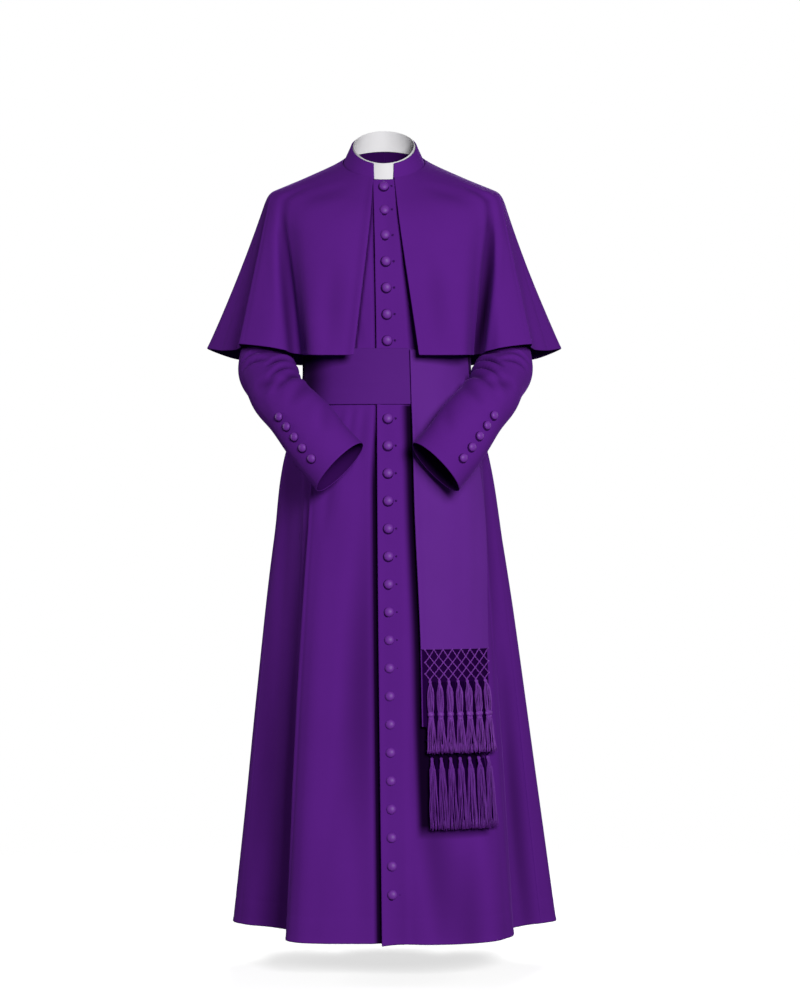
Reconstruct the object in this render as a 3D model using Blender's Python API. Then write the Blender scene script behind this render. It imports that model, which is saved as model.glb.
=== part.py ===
"""A worn cassock: buttoned body, two-piece sleeves, standing collar, shoulder cape and fringed sash.

Metres, +Z up. The front faces -Y and the wearer's left is +X. The origin is the centre of the
neckline, level with the tops of the shoulders, where the wearer carries the garment. Every piece of
cloth is a thin wall: a sheet of points on the piece's outer surface, thickened inwards by Solidify.
"""

import math

import bmesh
import bpy
import numpy as np
from mathutils import Matrix, Vector
from mathutils.bvhtree import BVHTree
from mathutils.geometry import delaunay_2d_cdt

# Cloth and seams
CLOTH = 0.0016  # wall of the body, sleeves and cape
SEAM_GAP = 0.0003  # left open between two pieces that are sewn together
OVERLAP_LIFT = CLOTH + SEAM_GAP  # how far the left front rides over the right front
EDGE_FROM_CENTRE = 0.0195  # from the button line to the left front's free edge
UNDERLAP = 0.022  # how far the right front runs on beneath, past the button line
SETTLES_OVER = 0.015  # width over which the left front comes down beyond the right front
YOKE_LENGTH = 0.16  # cloth from the chest ring up to the neckline, at the centre front
TOP_SHORT = 1.6  # the raised top edge stops short of the collar by this many times its lift

# Heights of the body's main rings
CHEST_Z = -0.190
WAIST_FOLD_Z = -0.447  # the skirt's folds start here, under the sash
HEM_Z = -1.420
FOLD_GROWTH = 0.85  # under 1, the folds deepen faster near the waist than near the hem
SECTION_POWER = 2.3  # 2 is an ellipse; more is squarer

# Body sections, smooth and without folds. right_x is the wearer's right side, left_x the left.
SECTION_COLUMNS = ("z", "right_x", "left_x", "centre_x", "front", "back")
SECTIONS = (
    (-1.420, -0.285, 0.3240, 0.0180, 0.2560, 0.2900),
    (-0.700, -0.208, 0.2230, 0.0095, 0.1700, 0.1800),
    (-0.544, -0.186, 0.1965, 0.0085, 0.1490, 0.1480),
    (-0.455, -0.159, 0.1730, 0.0080, 0.1320, 0.1100),
    (-0.400, -0.148, 0.1600, 0.0075, 0.1250, 0.0990),
    (-0.345, -0.149, 0.1580, 0.0070, 0.1260, 0.1030),
    (-0.270, -0.153, 0.1610, 0.0060, 0.1330, 0.1180),
    (-0.190, -0.158, 0.1640, 0.0045, 0.1350, 0.1250),
)

# The hem's outline, a row for each fold line. around is the share of a half turn from the centre
# front (0) to the centre back (1), negative on the wearer's right.
HEM_COLUMNS = ("around", "x", "y")
HEM = (
    (-0.950, -0.045, 0.276),
    (-0.900, -0.080, 0.236),  # back pleat
    (-0.845, -0.118, 0.264),
    (-0.785, -0.168, 0.262),  # back flute
    (-0.725, -0.200, 0.214),
    (-0.670, -0.214, 0.158),  # hollow behind the side
    (-0.610, -0.262, 0.125),
    (-0.545, -0.285, 0.062),  # side flute
    (-0.480, -0.258, 0.008),
    (-0.420, -0.205, -0.032),
    (-0.360, -0.160, -0.100),  # hollow behind the front panel
    (-0.320, -0.168, -0.160),
    (-0.285, -0.1755, -0.205),  # front panel's right ridge
    (-0.240, -0.158, -0.236),
    (-0.180, -0.118, -0.251),
    (-0.085, -0.055, -0.255),
    (0.000, 0.018, -0.256),  # centre front
    (0.075, 0.082, -0.268),
    (0.160, 0.145, -0.257),
    (0.240, 0.193, -0.228),
    (0.320, 0.222, -0.182),
    (0.385, 0.237, -0.130),  # front panel's left ridge
    (0.415, 0.231, -0.088),
    (0.445, 0.233, -0.048),  # hollow behind the front panel
    (0.475, 0.262, -0.008),
    (0.505, 0.300, 0.030),
    (0.545, 0.325, 0.068),  # side flute
    (0.595, 0.300, 0.125),
    (0.655, 0.250, 0.158),  # hollow behind the side
    (0.715, 0.238, 0.216),
    (0.780, 0.204, 0.264),  # back flute
    (0.845, 0.150, 0.266),
    (0.900, 0.112, 0.240),  # back pleat
    (0.950, 0.078, 0.278),
    (1.000, 0.018, 0.290),  # centre back
)

# Neckline and collar: two tilted rings, the lower one sewn to the body
NECK_HALF_WIDTH = 0.0765
NECK_FRONT = 0.092
NECK_BACK = 0.068
NECK_SIDE_Z = 0.0025
NECK_TILT = 0.42  # rise of the ring for each metre towards the back
COLLAR_TOP_HALF_WIDTH = 0.061
COLLAR_TOP_FRONT = 0.085
COLLAR_TOP_BACK = 0.060
COLLAR_TOP_SIDE_Z = 0.0355
COLLAR_TOP_TILT = 0.51
COLLAR_CLOTH = 0.0022
COLLAR_BELOW = 0.02  # the collar starts this share of its height above the neckline
COLLAR_AIM = 0.15  # its inner face lies towards an axis at this share of each point's depth
COLLAR_OPENING_DEG = (14.0, 18.5)  # from the centre front to each end, at its foot and at its top
INSERT_CLOTH = 0.0010
INSERT_ABOVE = 1.085  # the white band stands this share of the collar's height
INSERT_BELOW = 0.03  # and starts this share above the neckline

# Shoulder and armhole, on the wearer's right; the left is mirrored
SHOULDER_TIP = (0.2045, 0.006, -0.0560)
ARMHOLE_BOTTOM_Z = CHEST_Z
ARMHOLE_HALF_DEPTH = 0.062
ARMHOLE_SCOOP = 0.010  # how far its front and back curve in towards the body
NECK_SHARE = 0.42  # of the way from the centre line to the armhole; the shoulder seam is the rest

# Sleeve rings along the arm, for the wearer's right; mid_x is the line that the left one mirrors in
SLEEVE_COLUMNS = ("x", "y", "z", "outer", "front", "lean_deg", "mid_x")
SLEEVE = (
    (-0.1955, 0.005, -0.1480, 0.0500, 0.0550, 60.0, 0.0020),
    (-0.2030, 0.004, -0.2050, 0.0360, 0.0500, 27.0, 0.0020),
    (-0.2095, 0.003, -0.2600, 0.0410, 0.0500, 4.0, 0.0025),
    (-0.2160, 0.000, -0.3300, 0.0480, 0.0530, 0.0, 0.0030),
    (-0.2180, -0.030, -0.3800, 0.0520, 0.0540, -6.0, 0.0030),
    (-0.2040, -0.096, -0.4185, 0.0520, 0.0530, -22.0, 0.0024),
    (-0.1735, -0.156, -0.4560, 0.0535, 0.0510, -36.0, 0.0036),
    (-0.1390, -0.194, -0.4930, 0.0565, 0.0490, -44.0, 0.0058),
    (-0.1110, -0.216, -0.5300, 0.0575, 0.0480, -46.0, 0.0070),
    (-0.0785, -0.230, -0.5665, 0.0590, 0.0470, -46.0, 0.0080),
)
SLEEVE_STEP_DEG = 22.5  # the armhole and the sleeves are divided alike
SLEEVE_SEAMS_DEG = (22.5, 202.5)  # the top sleeve lies between them, on the front of the arm
CUFF_BUTTON_DEG = 64.0
CUFF_BUTTONS = 5
CUFF_BUTTON_PITCH = 0.0265
CUFF_BUTTON_FROM_MOUTH = 0.035

# Shoulder cape, a row for each fold line from the front edge to the centre back. Each line starts
# on the neckline at neck_deg, turns down at the yoke point and ends at the hem point.
CAPE_COLUMNS = (
    "neck_deg", "yoke_right_x", "yoke_left_x", "yoke_y", "yoke_z",
    "hem_right_x", "hem_left_x", "hem_y", "hem_z", "turn",
)
CAPE = (
    (15.0, -0.0250, 0.0290, -0.1500, -0.1180, -0.0545, 0.0652, -0.1700, -0.3620, 0.45),
    (31.0, -0.0850, 0.0880, -0.1440, -0.1120, -0.0980, 0.1120, -0.1680, -0.3620, 0.45),
    (47.0, -0.1480, 0.1500, -0.1160, -0.0940, -0.1330, 0.1490, -0.1560, -0.3610, 0.35),
    (60.0, -0.1870, 0.1930, -0.0800, -0.0750, -0.1540, 0.1710, -0.0860, -0.3570, 0.25),
    (69.0, -0.2010, 0.2060, -0.0620, -0.0660, -0.2030, 0.2150, -0.1150, -0.3460, 0.20),
    (77.0, -0.2110, 0.2150, -0.0420, -0.0590, -0.2645, 0.2710, -0.0840, -0.3385, 0.12),
    (83.5, -0.2160, 0.2195, -0.0180, -0.0550, -0.2710, 0.2775, -0.0280, -0.3450, 0.10),
    (90.0, -0.2175, 0.2205, 0.0050, -0.0535, -0.3050, 0.3070, 0.0180, -0.3450, 0.10),
    (97.0, -0.2165, 0.2195, 0.0300, -0.0555, -0.3340, 0.3345, 0.0740, -0.3395, 0.12),
    (106.0, -0.2080, 0.2100, 0.0620, -0.0660, -0.2860, 0.2900, 0.1200, -0.3560, 0.25),
    (118.0, -0.1840, 0.1860, 0.0980, -0.0850, -0.2380, 0.2420, 0.1560, -0.3600, 0.40),
    (133.0, -0.1310, 0.1340, 0.1250, -0.1000, -0.1800, 0.1850, 0.2000, -0.3640, 0.50),
    (152.0, -0.0700, 0.0740, 0.1430, -0.1060, -0.1050, 0.1100, 0.1720, -0.3680, 0.50),
    (180.0, 0.0000, 0.0000, 0.1460, -0.1080, 0.0020, 0.0020, 0.2130, -0.3700, 0.50),
)
CAPE_NECK_LIFT = 0.0027
CAPE_NECK_RISE = 0.10  # share of the collar's height at which the cape's neck edge is sewn
CAPE_SEAM_ROW = 7  # the shoulder and side seams run along this fold line
CAPE_BEND_AT = 0.36  # share of a fold line's length at the yoke point
CAPE_TURN_BELOW = 0.6  # the rounding reaches this much less far below the yoke than above

# Buttons down the front, measured along the cloth from the neckline
BUTTON_FIRST = 0.016
BUTTON_PITCH_CHEST = 0.0482
BUTTONS_ON_CHEST = 9  # steps at the chest's pitch, before the skirt's pitch starts
BUTTON_PITCH = 0.0508
BUTTON_COUNT = 27
BUTTONS_UNDER_SASH = (7, 8)
BUTTON_RADIUS = 0.0090
BUTTON_HEIGHT = 0.0062
BUTTON_PROFILE = ((0.82, 0.0), (1.0, 0.30), (0.72, 0.82))  # shares of the radius and the height
CUFF_BUTTON_RADIUS = 0.0080
CUFF_BUTTON_HEIGHT = 0.0056
BUTTON_SIDES = 10

# Sash: a band round the waist and two falls that hang from its top, one over the other
SASH_CLOTH = 0.0016
SASH_TOP_Z = -0.349
SASH_BOTTOM_Z = -0.451
SASH_COLUMNS = 46  # facets round the waist
SASH_LIFT = 0.0046  # outer face, above the body's surface
REAR_FALL_LIFT = 0.0075
FRONT_FALL_LIFT = 0.0108
FALL_COLUMNS = ("z", "inner_x", "outer_x")  # the edge near the buttons and the edge near the side
FALL = (
    (-1.260, 0.0790, 0.2000),
    (-1.035, 0.0700, 0.1890),
    (-0.897, 0.0670, 0.1830),
    (-0.627, 0.0550, 0.1740),
    (-0.517, 0.0520, 0.1610),
    (-0.349, 0.0470, 0.1440),
)
FALL_TOP_Z = -0.351
FRONT_FALL_BOTTOM_Z = -0.897
REAR_FALL_BOTTOM_Z = -1.035

# Fringe: a knotted net under each fall and a tassel under each of its lowest knots
TASSELS = 7
NET_HEIGHT = 0.054
NET_STRIP = 0.0030
NET_SPAN = (0.055, 0.995)  # the shares of the fall's width between which the knots are spaced
NET_ROWS = 5  # half diamonds, one above the other
NET_CORD = 0.0022  # width of a cord
NET_CLOTH = 0.0018
STRANDS = 8
# Tassel profiles: distance down from the net, radius, and how far the axis stands off the fall
TASSEL_COLUMNS = ("down", "radius", "off")
BANDED_TASSEL = (
    (-0.0015, 0.0020, 0.0000),
    (0.0050, 0.0030, 0.0020),
    (0.0140, 0.0056, 0.0050),
    (0.0440, 0.0060, 0.0058),
    (0.0580, 0.0048, 0.0058),
    (0.0610, 0.0060, 0.0058),
    (0.0650, 0.0060, 0.0058),
    (0.0680, 0.0046, 0.0058),
)
BANDED_STRANDS_TO = 0.131
BANDED_FLARE = 1.65
PLAIN_TASSEL = (
    (-0.0015, 0.0020, 0.0000),
    (0.0060, 0.0026, 0.0018),
    (0.0120, 0.0036, 0.0030),
    (0.0240, 0.0056, 0.0040),
)
PLAIN_STRANDS_TO = 0.128
PLAIN_FLARE = 1.25

PURPLE = (0.105, 0.018, 0.225)
SASH_PURPLE = (0.120, 0.020, 0.250)
WHITE = (0.86, 0.86, 0.88)


# ---------------------------------------------------------------- curves through table rows

def column(rows, columns, name):
    return np.array([row[columns.index(name)] for row in rows], float)


def through(knots, values, at):
    """The smooth curve through values at knots, read at the places in at."""
    knots, at = np.asarray(knots, float), np.asarray(at, float)
    values = np.asarray(values, float)
    slopes = np.gradient(values, knots, axis=0)
    i = np.clip(np.searchsorted(knots, at) - 1, 0, len(knots) - 2)
    width = knots[i + 1] - knots[i]
    t = np.clip((at - knots[i]) / width, 0, 1)
    if values.ndim > 1:
        t, width = t[..., None], width[..., None]
    near, far = values[i], values[i + 1]
    return (
        (1 + 2 * t) * (1 - t) ** 2 * near
        + t * (1 - t) ** 2 * width * slopes[i]
        + t * t * (3 - 2 * t) * far
        + t * t * (t - 1) * width * slopes[i + 1]
    )


def table(rows, columns, key, name, at):
    """Column name of a table, read smoothly at the given values of column key."""
    knots, values = column(rows, columns, key), column(rows, columns, name)
    order = np.argsort(knots)
    return through(knots[order], values[order], at)


def xyz(x, y, z):
    return np.stack(np.broadcast_arrays(x, y, z), axis=-1).astype(float)


def unit(vectors):
    return vectors / np.linalg.norm(vectors, axis=-1, keepdims=True)


def mix(a, b, share):
    return a + (b - a) * share[..., None]


# ---------------------------------------------------------------- the body's surface

def section(z, around):
    """The smooth body, with no folds: a rounded outline at height z."""
    angle = np.pi * around
    side, ahead = np.sin(angle), np.cos(angle)
    centre = table(SECTIONS, SECTION_COLUMNS, "z", "centre_x", z)
    left = table(SECTIONS, SECTION_COLUMNS, "z", "left_x", z) - centre
    right = centre - table(SECTIONS, SECTION_COLUMNS, "z", "right_x", z)
    front = table(SECTIONS, SECTION_COLUMNS, "z", "front", z)
    back = table(SECTIONS, SECTION_COLUMNS, "z", "back", z)
    across = np.abs(side) / np.where(side > 0, left, right)
    along = np.abs(ahead) / np.where(ahead > 0, front, back)
    radius = (across**SECTION_POWER + along**SECTION_POWER) ** (-1 / SECTION_POWER)
    return xyz(centre + radius * side, -radius * ahead, z)


def hem_folds(around):
    """How far the hem's folds stand from the smooth section there."""
    knots = column(HEM, HEM_COLUMNS, "around")
    outline = xyz(column(HEM, HEM_COLUMNS, "x"), column(HEM, HEM_COLUMNS, "y"), HEM_Z)
    wrapped = np.concatenate([knots[-4:] - 2, knots, knots[:3] + 2])
    points = np.concatenate([outline[-4:], outline, outline[:3]])
    return through(wrapped, points, around) - section(np.full_like(around, HEM_Z), around)


def skirt_and_waist(around, z):
    """The tube from the chest ring down to the hem; the folds grow from the waist."""
    growth = np.clip((WAIST_FOLD_Z - z) / (WAIST_FOLD_Z - HEM_Z), 0, 1) ** FOLD_GROWTH
    return section(z, around) + growth[..., None] * hem_folds(around)


def neck_ring(angle):
    """The neckline seam at an angle from the centre front, positive to the wearer's left."""
    ahead = np.cos(angle)
    y = -np.where(ahead > 0, NECK_FRONT, NECK_BACK) * ahead
    return xyz(NECK_HALF_WIDTH * np.sin(angle), y, NECK_SIDE_Z + NECK_TILT * y)


def collar_top_ring(angle):
    ahead = np.cos(angle)
    y = -np.where(ahead > 0, COLLAR_TOP_FRONT, COLLAR_TOP_BACK) * ahead
    return xyz(COLLAR_TOP_HALF_WIDTH * np.sin(angle), y, COLLAR_TOP_SIDE_Z + COLLAR_TOP_TILT * y)


def collar_surface(angle, height):
    """The collar's outer face, height 0 at the neckline and 1 at its top edge."""
    return mix(neck_ring(angle), collar_top_ring(angle), height)


def armhole(turn, side):
    """The armhole seam. turn is 0 at the shoulder, pi/2 in front, pi under the arm."""
    turn, side = np.broadcast_arrays(np.asarray(turn, float), np.asarray(side, float))
    bottom_x = np.abs(section(np.full_like(side, CHEST_Z), 0.5 * side)[..., 0])
    up = (1 + np.cos(turn)) / 2
    x = bottom_x + (SHOULDER_TIP[0] - bottom_x) * up - ARMHOLE_SCOOP * np.sin(turn) ** 2
    middle = (SHOULDER_TIP[2] + ARMHOLE_BOTTOM_Z) / 2
    half = (SHOULDER_TIP[2] - ARMHOLE_BOTTOM_Z) / 2
    y = SHOULDER_TIP[1] * up - ARMHOLE_HALF_DEPTH * np.sin(turn)
    return xyz(side * x, y, middle + half * np.cos(turn))


def eased(share):
    """Rises slowly from 0, then quickly to 1: the chest turns over late towards the neck."""
    return 1 - np.cos(share * np.pi / 2)


def yoke(around, rise, front):
    """The body above the chest ring: rise is 0 there and 1 at the neckline and shoulder seam.

    A Coons patch on each quarter, between the chest ring, the centre line, the armhole and the
    neckline with the shoulder seam."""
    side = np.where(around < 0, -1.0, 1.0)
    from_centre = np.abs(around) if front else 1 - np.abs(around)
    across = from_centre * 2
    neck_angle = np.clip(across / NECK_SHARE, 0, 1) * np.pi / 2
    neck = neck_ring(side * (neck_angle if front else np.pi - neck_angle))
    tip = xyz(side * SHOULDER_TIP[0], SHOULDER_TIP[1], SHOULDER_TIP[2])
    on_shoulder = np.clip((across - NECK_SHARE) / (1 - NECK_SHARE), 0, 1)
    seam = mix(neck_ring(side * np.pi / 2), tip, on_shoulder)
    top = np.where((across < NECK_SHARE)[..., None], neck, seam)
    centre_around = np.zeros_like(around) if front else np.ones_like(around)
    ring = section(np.full_like(around, CHEST_Z), around)
    ring_centre = section(np.full_like(around, CHEST_Z), centre_around)
    ring_end = section(np.full_like(around, CHEST_Z), side * 0.5)
    top_centre = neck_ring(centre_around * np.pi)
    turn = np.pi * (1 - rise) if front else np.pi * (1 + rise)
    edge = armhole(turn, side)

    def risen(low, high):
        moved = mix(low, high, rise)
        moved[..., 1] = low[..., 1] + (high[..., 1] - low[..., 1]) * eased(rise)
        return moved

    corners = risen(mix(ring_centre, ring_end, across), mix(top_centre, tip, across))
    return risen(ring, top) + mix(risen(ring_centre, top_centre), edge, across) - corners


def body_surface(around, level, front=True):
    """The body's outer face. level is metres below the chest ring while it is negative, and above
    it the share of the way up to the neckline and shoulder seam."""
    around, level = np.broadcast_arrays(np.asarray(around, float), np.asarray(level, float))
    below = skirt_and_waist(around, CHEST_Z + np.minimum(level, 0))
    above = yoke(around, np.clip(level, 0, 1), front)
    return np.where((level > 0)[..., None], above, below)


def back_surface(around, level):
    return body_surface(around, level, front=False)


# ---------------------------------------------------------------- sheets of cloth

def normals(surface, u, v, step=2e-3):
    """Unit vectors across the surface, on the side that u x v points to."""
    along_u = surface(u + step, v) - surface(u - step, v)
    along_v = surface(u, v + step) - surface(u, v - step)
    return unit(np.cross(along_u, along_v))


def lifted(surface, u, v, lift):
    """Points of a surface moved out by lift, a number or one for each point."""
    u, v = np.broadcast_arrays(np.asarray(u, float), np.asarray(v, float))
    lift = np.broadcast_to(lift, u.shape)
    return surface(u, v) + normals(surface, u, v) * lift[..., None]


def pulls(points, seams, distance):
    """Moves that draw the named edges of a grid in towards their neighbours: l and r are its first
    and last columns, b and t the first and last points of each column."""
    edges = {
        "l": ((0,), (1,)),
        "r": ((-1,), (-2,)),
        "b": ((slice(None), 0), (slice(None), 1)),
        "t": ((slice(None), -1), (slice(None), -2)),
    }
    moves = np.zeros_like(points)
    for seam in seams:
        edge, inner = edges[seam]
        moves[edge] += unit(points[inner] - points[edge]) * distance
    return moves


def grid_cells(points, wraps):
    """Two triangles for each cell of a grid, across its shorter diagonal, and the grid's rims."""
    across, up = points.shape[:2]
    index = np.arange(across * up).reshape(across, up)
    faces = []
    for i in range(across if wraps else across - 1):
        j = (i + 1) % across
        for k in range(up - 1):
            a, b, c, d = (int(n) for n in (index[i, k], index[j, k], index[j, k + 1], index[i, k + 1]))
            one = np.linalg.norm(points[i, k] - points[j, k + 1])
            other = np.linalg.norm(points[j, k] - points[i, k + 1])
            faces += [(a, b, c), (a, c, d)] if one <= other else [(a, b, d), (b, c, d)]
    ring = list(range(across)) + ([0] if wraps else [])
    low, high = index[ring, 0].tolist(), index[ring, -1].tolist()
    if wraps:
        return faces, [low, high]
    return faces, [low + index[-1, 1:].tolist() + high[-2::-1] + index[0, -2::-1].tolist()]


def add_object(name, made, material):
    """Turns a closed bmesh into an object with its faces outwards."""
    bmesh.ops.recalc_face_normals(made, faces=made.faces)
    mesh = bpy.data.meshes.new(name)
    made.to_mesh(mesh)
    made.free()
    mesh.materials.append(material)
    added = bpy.data.objects.new(name, mesh)
    bpy.context.scene.collection.objects.link(added)
    return added


def wall(name, outer, inner, material, wraps=False):
    """A closed wall of cloth between two grids of points."""
    made = bmesh.new()
    sheets = [[made.verts.new(p) for p in grid.reshape(-1, 3).tolist()] for grid in (outer, inner)]
    cells, rims = grid_cells(outer, wraps)
    for cell in cells:
        for sheet in sheets:
            made.faces.new([sheet[i] for i in cell])
    for rim in rims:
        for a, b in zip(rim, rim[1:]):
            made.faces.new((sheets[0][a], sheets[0][b], sheets[1][b], sheets[1][a]))
    return add_object(name, made, material)


def cloth(name, points, across, material, thickness=CLOTH, lift=0.0, seams="", wraps=False):
    """A wall of cloth: a grid of points lifted along the unit vectors across it, and thickened
    inwards. Two pieces that share a seam share its vectors, so their walls meet in a mitre."""
    outer = points + across * np.broadcast_to(lift, points.shape[:2])[..., None]
    outer = outer + pulls(outer, seams, SEAM_GAP / 2)
    return wall(name, outer, outer - across * thickness, material, wraps)


def armhole_across(turn, side):
    """The shared vectors of the armhole seam, between the body's and the sleeve's own."""
    turn = np.mod(turn, 2 * np.pi)
    at = np.full_like(turn, 0.5 * side)
    front = normals(body_surface, at, np.clip(1 - turn / np.pi, 0, 1))
    back = normals(back_surface, at, np.clip(turn / np.pi - 1, 0, 1))
    top = np.minimum(turn, 2 * np.pi - turn) < 1e-6
    body = np.where((turn <= np.pi)[..., None], front, back)
    body = np.where(top[..., None], front + normals(back_surface, at, np.ones_like(turn)), body)
    return unit(unit(body) + normals(lambda u, v: sleeve_surface(u, v, side), turn, 0 * turn) * side)


def body_across(around, level, front=True):
    """Vectors across the body panels, shared at the shoulder seam and the armhole."""
    surface, other = (body_surface, back_surface) if front else (back_surface, body_surface)
    side = np.where(around < 0, -1.0, 1.0)
    own = normals(surface, around, level)
    opposite = normals(other, side * (1 - np.abs(around)), level)
    from_centre = np.abs(around) if front else 1 - np.abs(around)
    shoulder = (level >= 1) & (from_centre * 2 > NECK_SHARE)
    own = np.where(shoulder[..., None], unit(own + opposite), own)
    turn = np.pi * (1 - level) if front else np.pi * (1 + level)
    at_armhole = (level >= 0) & (from_centre >= 0.5)
    for which in (-1.0, 1.0):
        here = at_armhole & (side == which)
        own[here] = armhole_across(turn[here], which)
    return own


# ---------------------------------------------------------------- body panels

# Rows of the body panels, as heights below the chest ring and then shares of the yoke above it
PANEL_HEIGHTS = (-1.42, -1.27, -1.09, -0.90, -0.74, -0.63, -0.55, -0.50, -0.455, -0.40, -0.345, -0.265)
YOKE_RISES = np.arange(0, 181, SLEEVE_STEP_DEG) / 180
# Columns of the front panels and the backs, as shares of the half turn from centre front to back
RIGHT_COLUMNS = (0.10, 0.155, 0.205, 0.245, 0.285, 0.322, 0.36, 0.405, 0.45, 0.50)
LEFT_COLUMNS = (0.10, 0.16, 0.22, 0.28, 0.335, 0.385, 0.418, 0.448, 0.475, 0.50)
BACK_COLUMNS = (0.50, 0.55, 0.61, 0.668, 0.725, 0.785, 0.845, 0.90, 0.95, 1.0)
# Columns beside the buttons, in metres from the centre front towards the wearer's left
BESIDE_LEFT = (-EDGE_FROM_CENTRE, 0.0, UNDERLAP, UNDERLAP + SETTLES_OVER)
BESIDE_RIGHT = (-UNDERLAP - SETTLES_OVER, -EDGE_FROM_CENTRE, 0.0, UNDERLAP)


def panel_levels():
    return np.array([z - CHEST_Z for z in PANEL_HEIGHTS] + list(YOKE_RISES))


def centre_speed(level):
    """Metres of cloth for each unit of around, at the centre front."""
    step = 0.01
    centre = np.zeros_like(level)
    ahead = body_surface(centre + step, level) - body_surface(centre - step, level)
    return np.linalg.norm(ahead, axis=-1) / (2 * step)


def overlap_lift(around, level):
    """The left front rides over the right front beside the buttons and settles beyond them."""
    settled = np.clip((around * centre_speed(level) - UNDERLAP) / SETTLES_OVER, 0, 1)
    return OVERLAP_LIFT * (1 - settled * settled * (3 - 2 * settled))


def front_left(material):
    levels = panel_levels()
    beside = [distance / centre_speed(levels) for distance in BESIDE_LEFT]
    around = np.array(beside + [np.full_like(levels, a) for a in LEFT_COLUMNS])
    level = np.broadcast_to(levels, around.shape).copy()
    lift = overlap_lift(around, level)
    level[:, -1] -= lift[:, -1] * TOP_SHORT / YOKE_LENGTH
    points, across = body_surface(around, level), body_across(around, level)
    return cloth("front_left", points, across, material, lift=lift, seams="rt")


def front_right(material):
    levels = panel_levels()
    beside = [distance / centre_speed(levels) for distance in BESIDE_RIGHT]
    around = np.array([np.full_like(levels, -a) for a in RIGHT_COLUMNS[::-1]] + beside)
    level = np.broadcast_to(levels, around.shape)
    points, across = body_surface(around, level), body_across(around, level)
    return cloth("front_right", points, across, material, seams="lt")


def back_panel(name, side, material):
    arounds = np.array(BACK_COLUMNS)[:: int(side)] * side
    around, level = np.meshgrid(arounds, panel_levels(), indexing="ij")
    points, across = back_surface(around, level), body_across(around, level, front=False)
    return cloth(name, points, across, material, seams="lrt")


# ---------------------------------------------------------------- collar

def collar_band(angle, height, inset):
    """The collar's face moved straight in towards the neck, so that its edges stay level."""
    points = collar_surface(angle, height)
    axis = xyz(0 * angle, points[..., 1] * COLLAR_AIM, points[..., 2])
    return points + unit(axis - points) * inset


def collar(material):
    ways, heights = np.linspace(-1, 1, 25), np.array((COLLAR_BELOW, 0.35, 0.7, 1.0))
    way, height = np.meshgrid(ways, heights, indexing="ij")
    foot, top = COLLAR_OPENING_DEG
    angle = math.pi + way * (math.pi - np.radians(foot + (top - foot) * height))
    outer, inner = (collar_band(angle, height, inset) for inset in (0.0, COLLAR_CLOTH))
    return wall("collar", outer, inner, material)


def collar_insert(material):
    heights = np.array((INSERT_BELOW, 0.35, 0.75, INSERT_ABOVE))
    turns = np.linspace(0, 2 * math.pi, 28, endpoint=False)
    angle, height = np.meshgrid(turns, heights, indexing="ij")
    inset = COLLAR_CLOTH + 2 * SEAM_GAP
    outer, inner = (collar_band(angle, height, d) for d in (inset, inset + INSERT_CLOTH))
    return wall("collar_insert", outer, inner, material, wraps=True)


# ---------------------------------------------------------------- sleeves

def sleeve_surface(turn, along, side):
    """A sleeve's outer face. turn is 0 on the outer side of the arm and pi/2 in front; along is 0
    at the armhole and 1 at the cuff's mouth. The sleeve is drawn on the wearer's right, where side
    is -1, and mirrored for the left."""
    turn, along = np.broadcast_arrays(np.asarray(turn, float), np.asarray(along, float))
    rows = np.linspace(0, 1, len(SLEEVE) + 1)[1:]

    def read(name, at):
        return through(rows, column(SLEEVE, SLEEVE_COLUMNS, name), at)

    def arm(at):
        x = read("x", at) - (2 * read("mid_x", at) if side > 0 else 0)
        return xyz(x, read("y", at), read("z", at))

    place = np.clip(along, rows[0], 1)
    axis = unit(arm(np.minimum(place + 1e-3, 1)) - arm(np.maximum(place - 1e-3, rows[0])))
    lean = np.radians(read("lean_deg", place))
    outward = xyz(-np.cos(lean), 0 * lean, np.sin(lean))
    forward = unit(np.cross(outward, axis))
    across = outward * (read("outer", place) * np.cos(turn))[..., None]
    points = arm(place) + across + forward * (read("front", place) * np.sin(turn))[..., None]
    seam = armhole(turn, side) * (-side, 1, 1)
    seam[..., 0] -= SEAM_GAP
    share = np.clip(along / rows[0], 0, 1)
    points = np.where((along < rows[0])[..., None], mix(seam, points, share), points)
    return points * (-side, 1, 1)


def sleeve_half(name, side, seams_deg, material):
    def surface(turn, along):
        return sleeve_surface(turn, along, side)

    turns = np.radians(np.arange(seams_deg[0], seams_deg[1] + 1, SLEEVE_STEP_DEG))
    alongs = np.array((0.0, 0.1, 0.2, 0.3, 0.4, 0.47, 0.54, 0.61, 0.70, 0.80, 0.90, 1.0))
    turn, along = np.meshgrid(turns, alongs, indexing="ij")
    across = normals(surface, turn, along) * side
    across[:, 0] = armhole_across(turn[:, 0], side)
    return cloth(name, surface(turn, along), across, material, seams="lrb")


# ---------------------------------------------------------------- cape

def cape_lines(side):
    """Neck, yoke and hem points of the cape's fold lines, and how softly each one turns."""
    angle = np.radians(column(CAPE, CAPE_COLUMNS, "neck_deg")) * side
    sewn = collar_surface(angle, np.full_like(angle, CAPE_NECK_RISE))
    neck = sewn + unit(sewn * (1.0, 1.0, 0.0)) * CAPE_NECK_LIFT
    which = "left" if side > 0 else "right"
    read = {name: column(CAPE, CAPE_COLUMNS, name) for name in CAPE_COLUMNS}
    bend = xyz(read[f"yoke_{which}_x"], read["yoke_y"], read["yoke_z"])
    hem = xyz(read[f"hem_{which}_x"], read["hem_y"], read["hem_z"])
    return neck, bend, hem, read["turn"]


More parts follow.
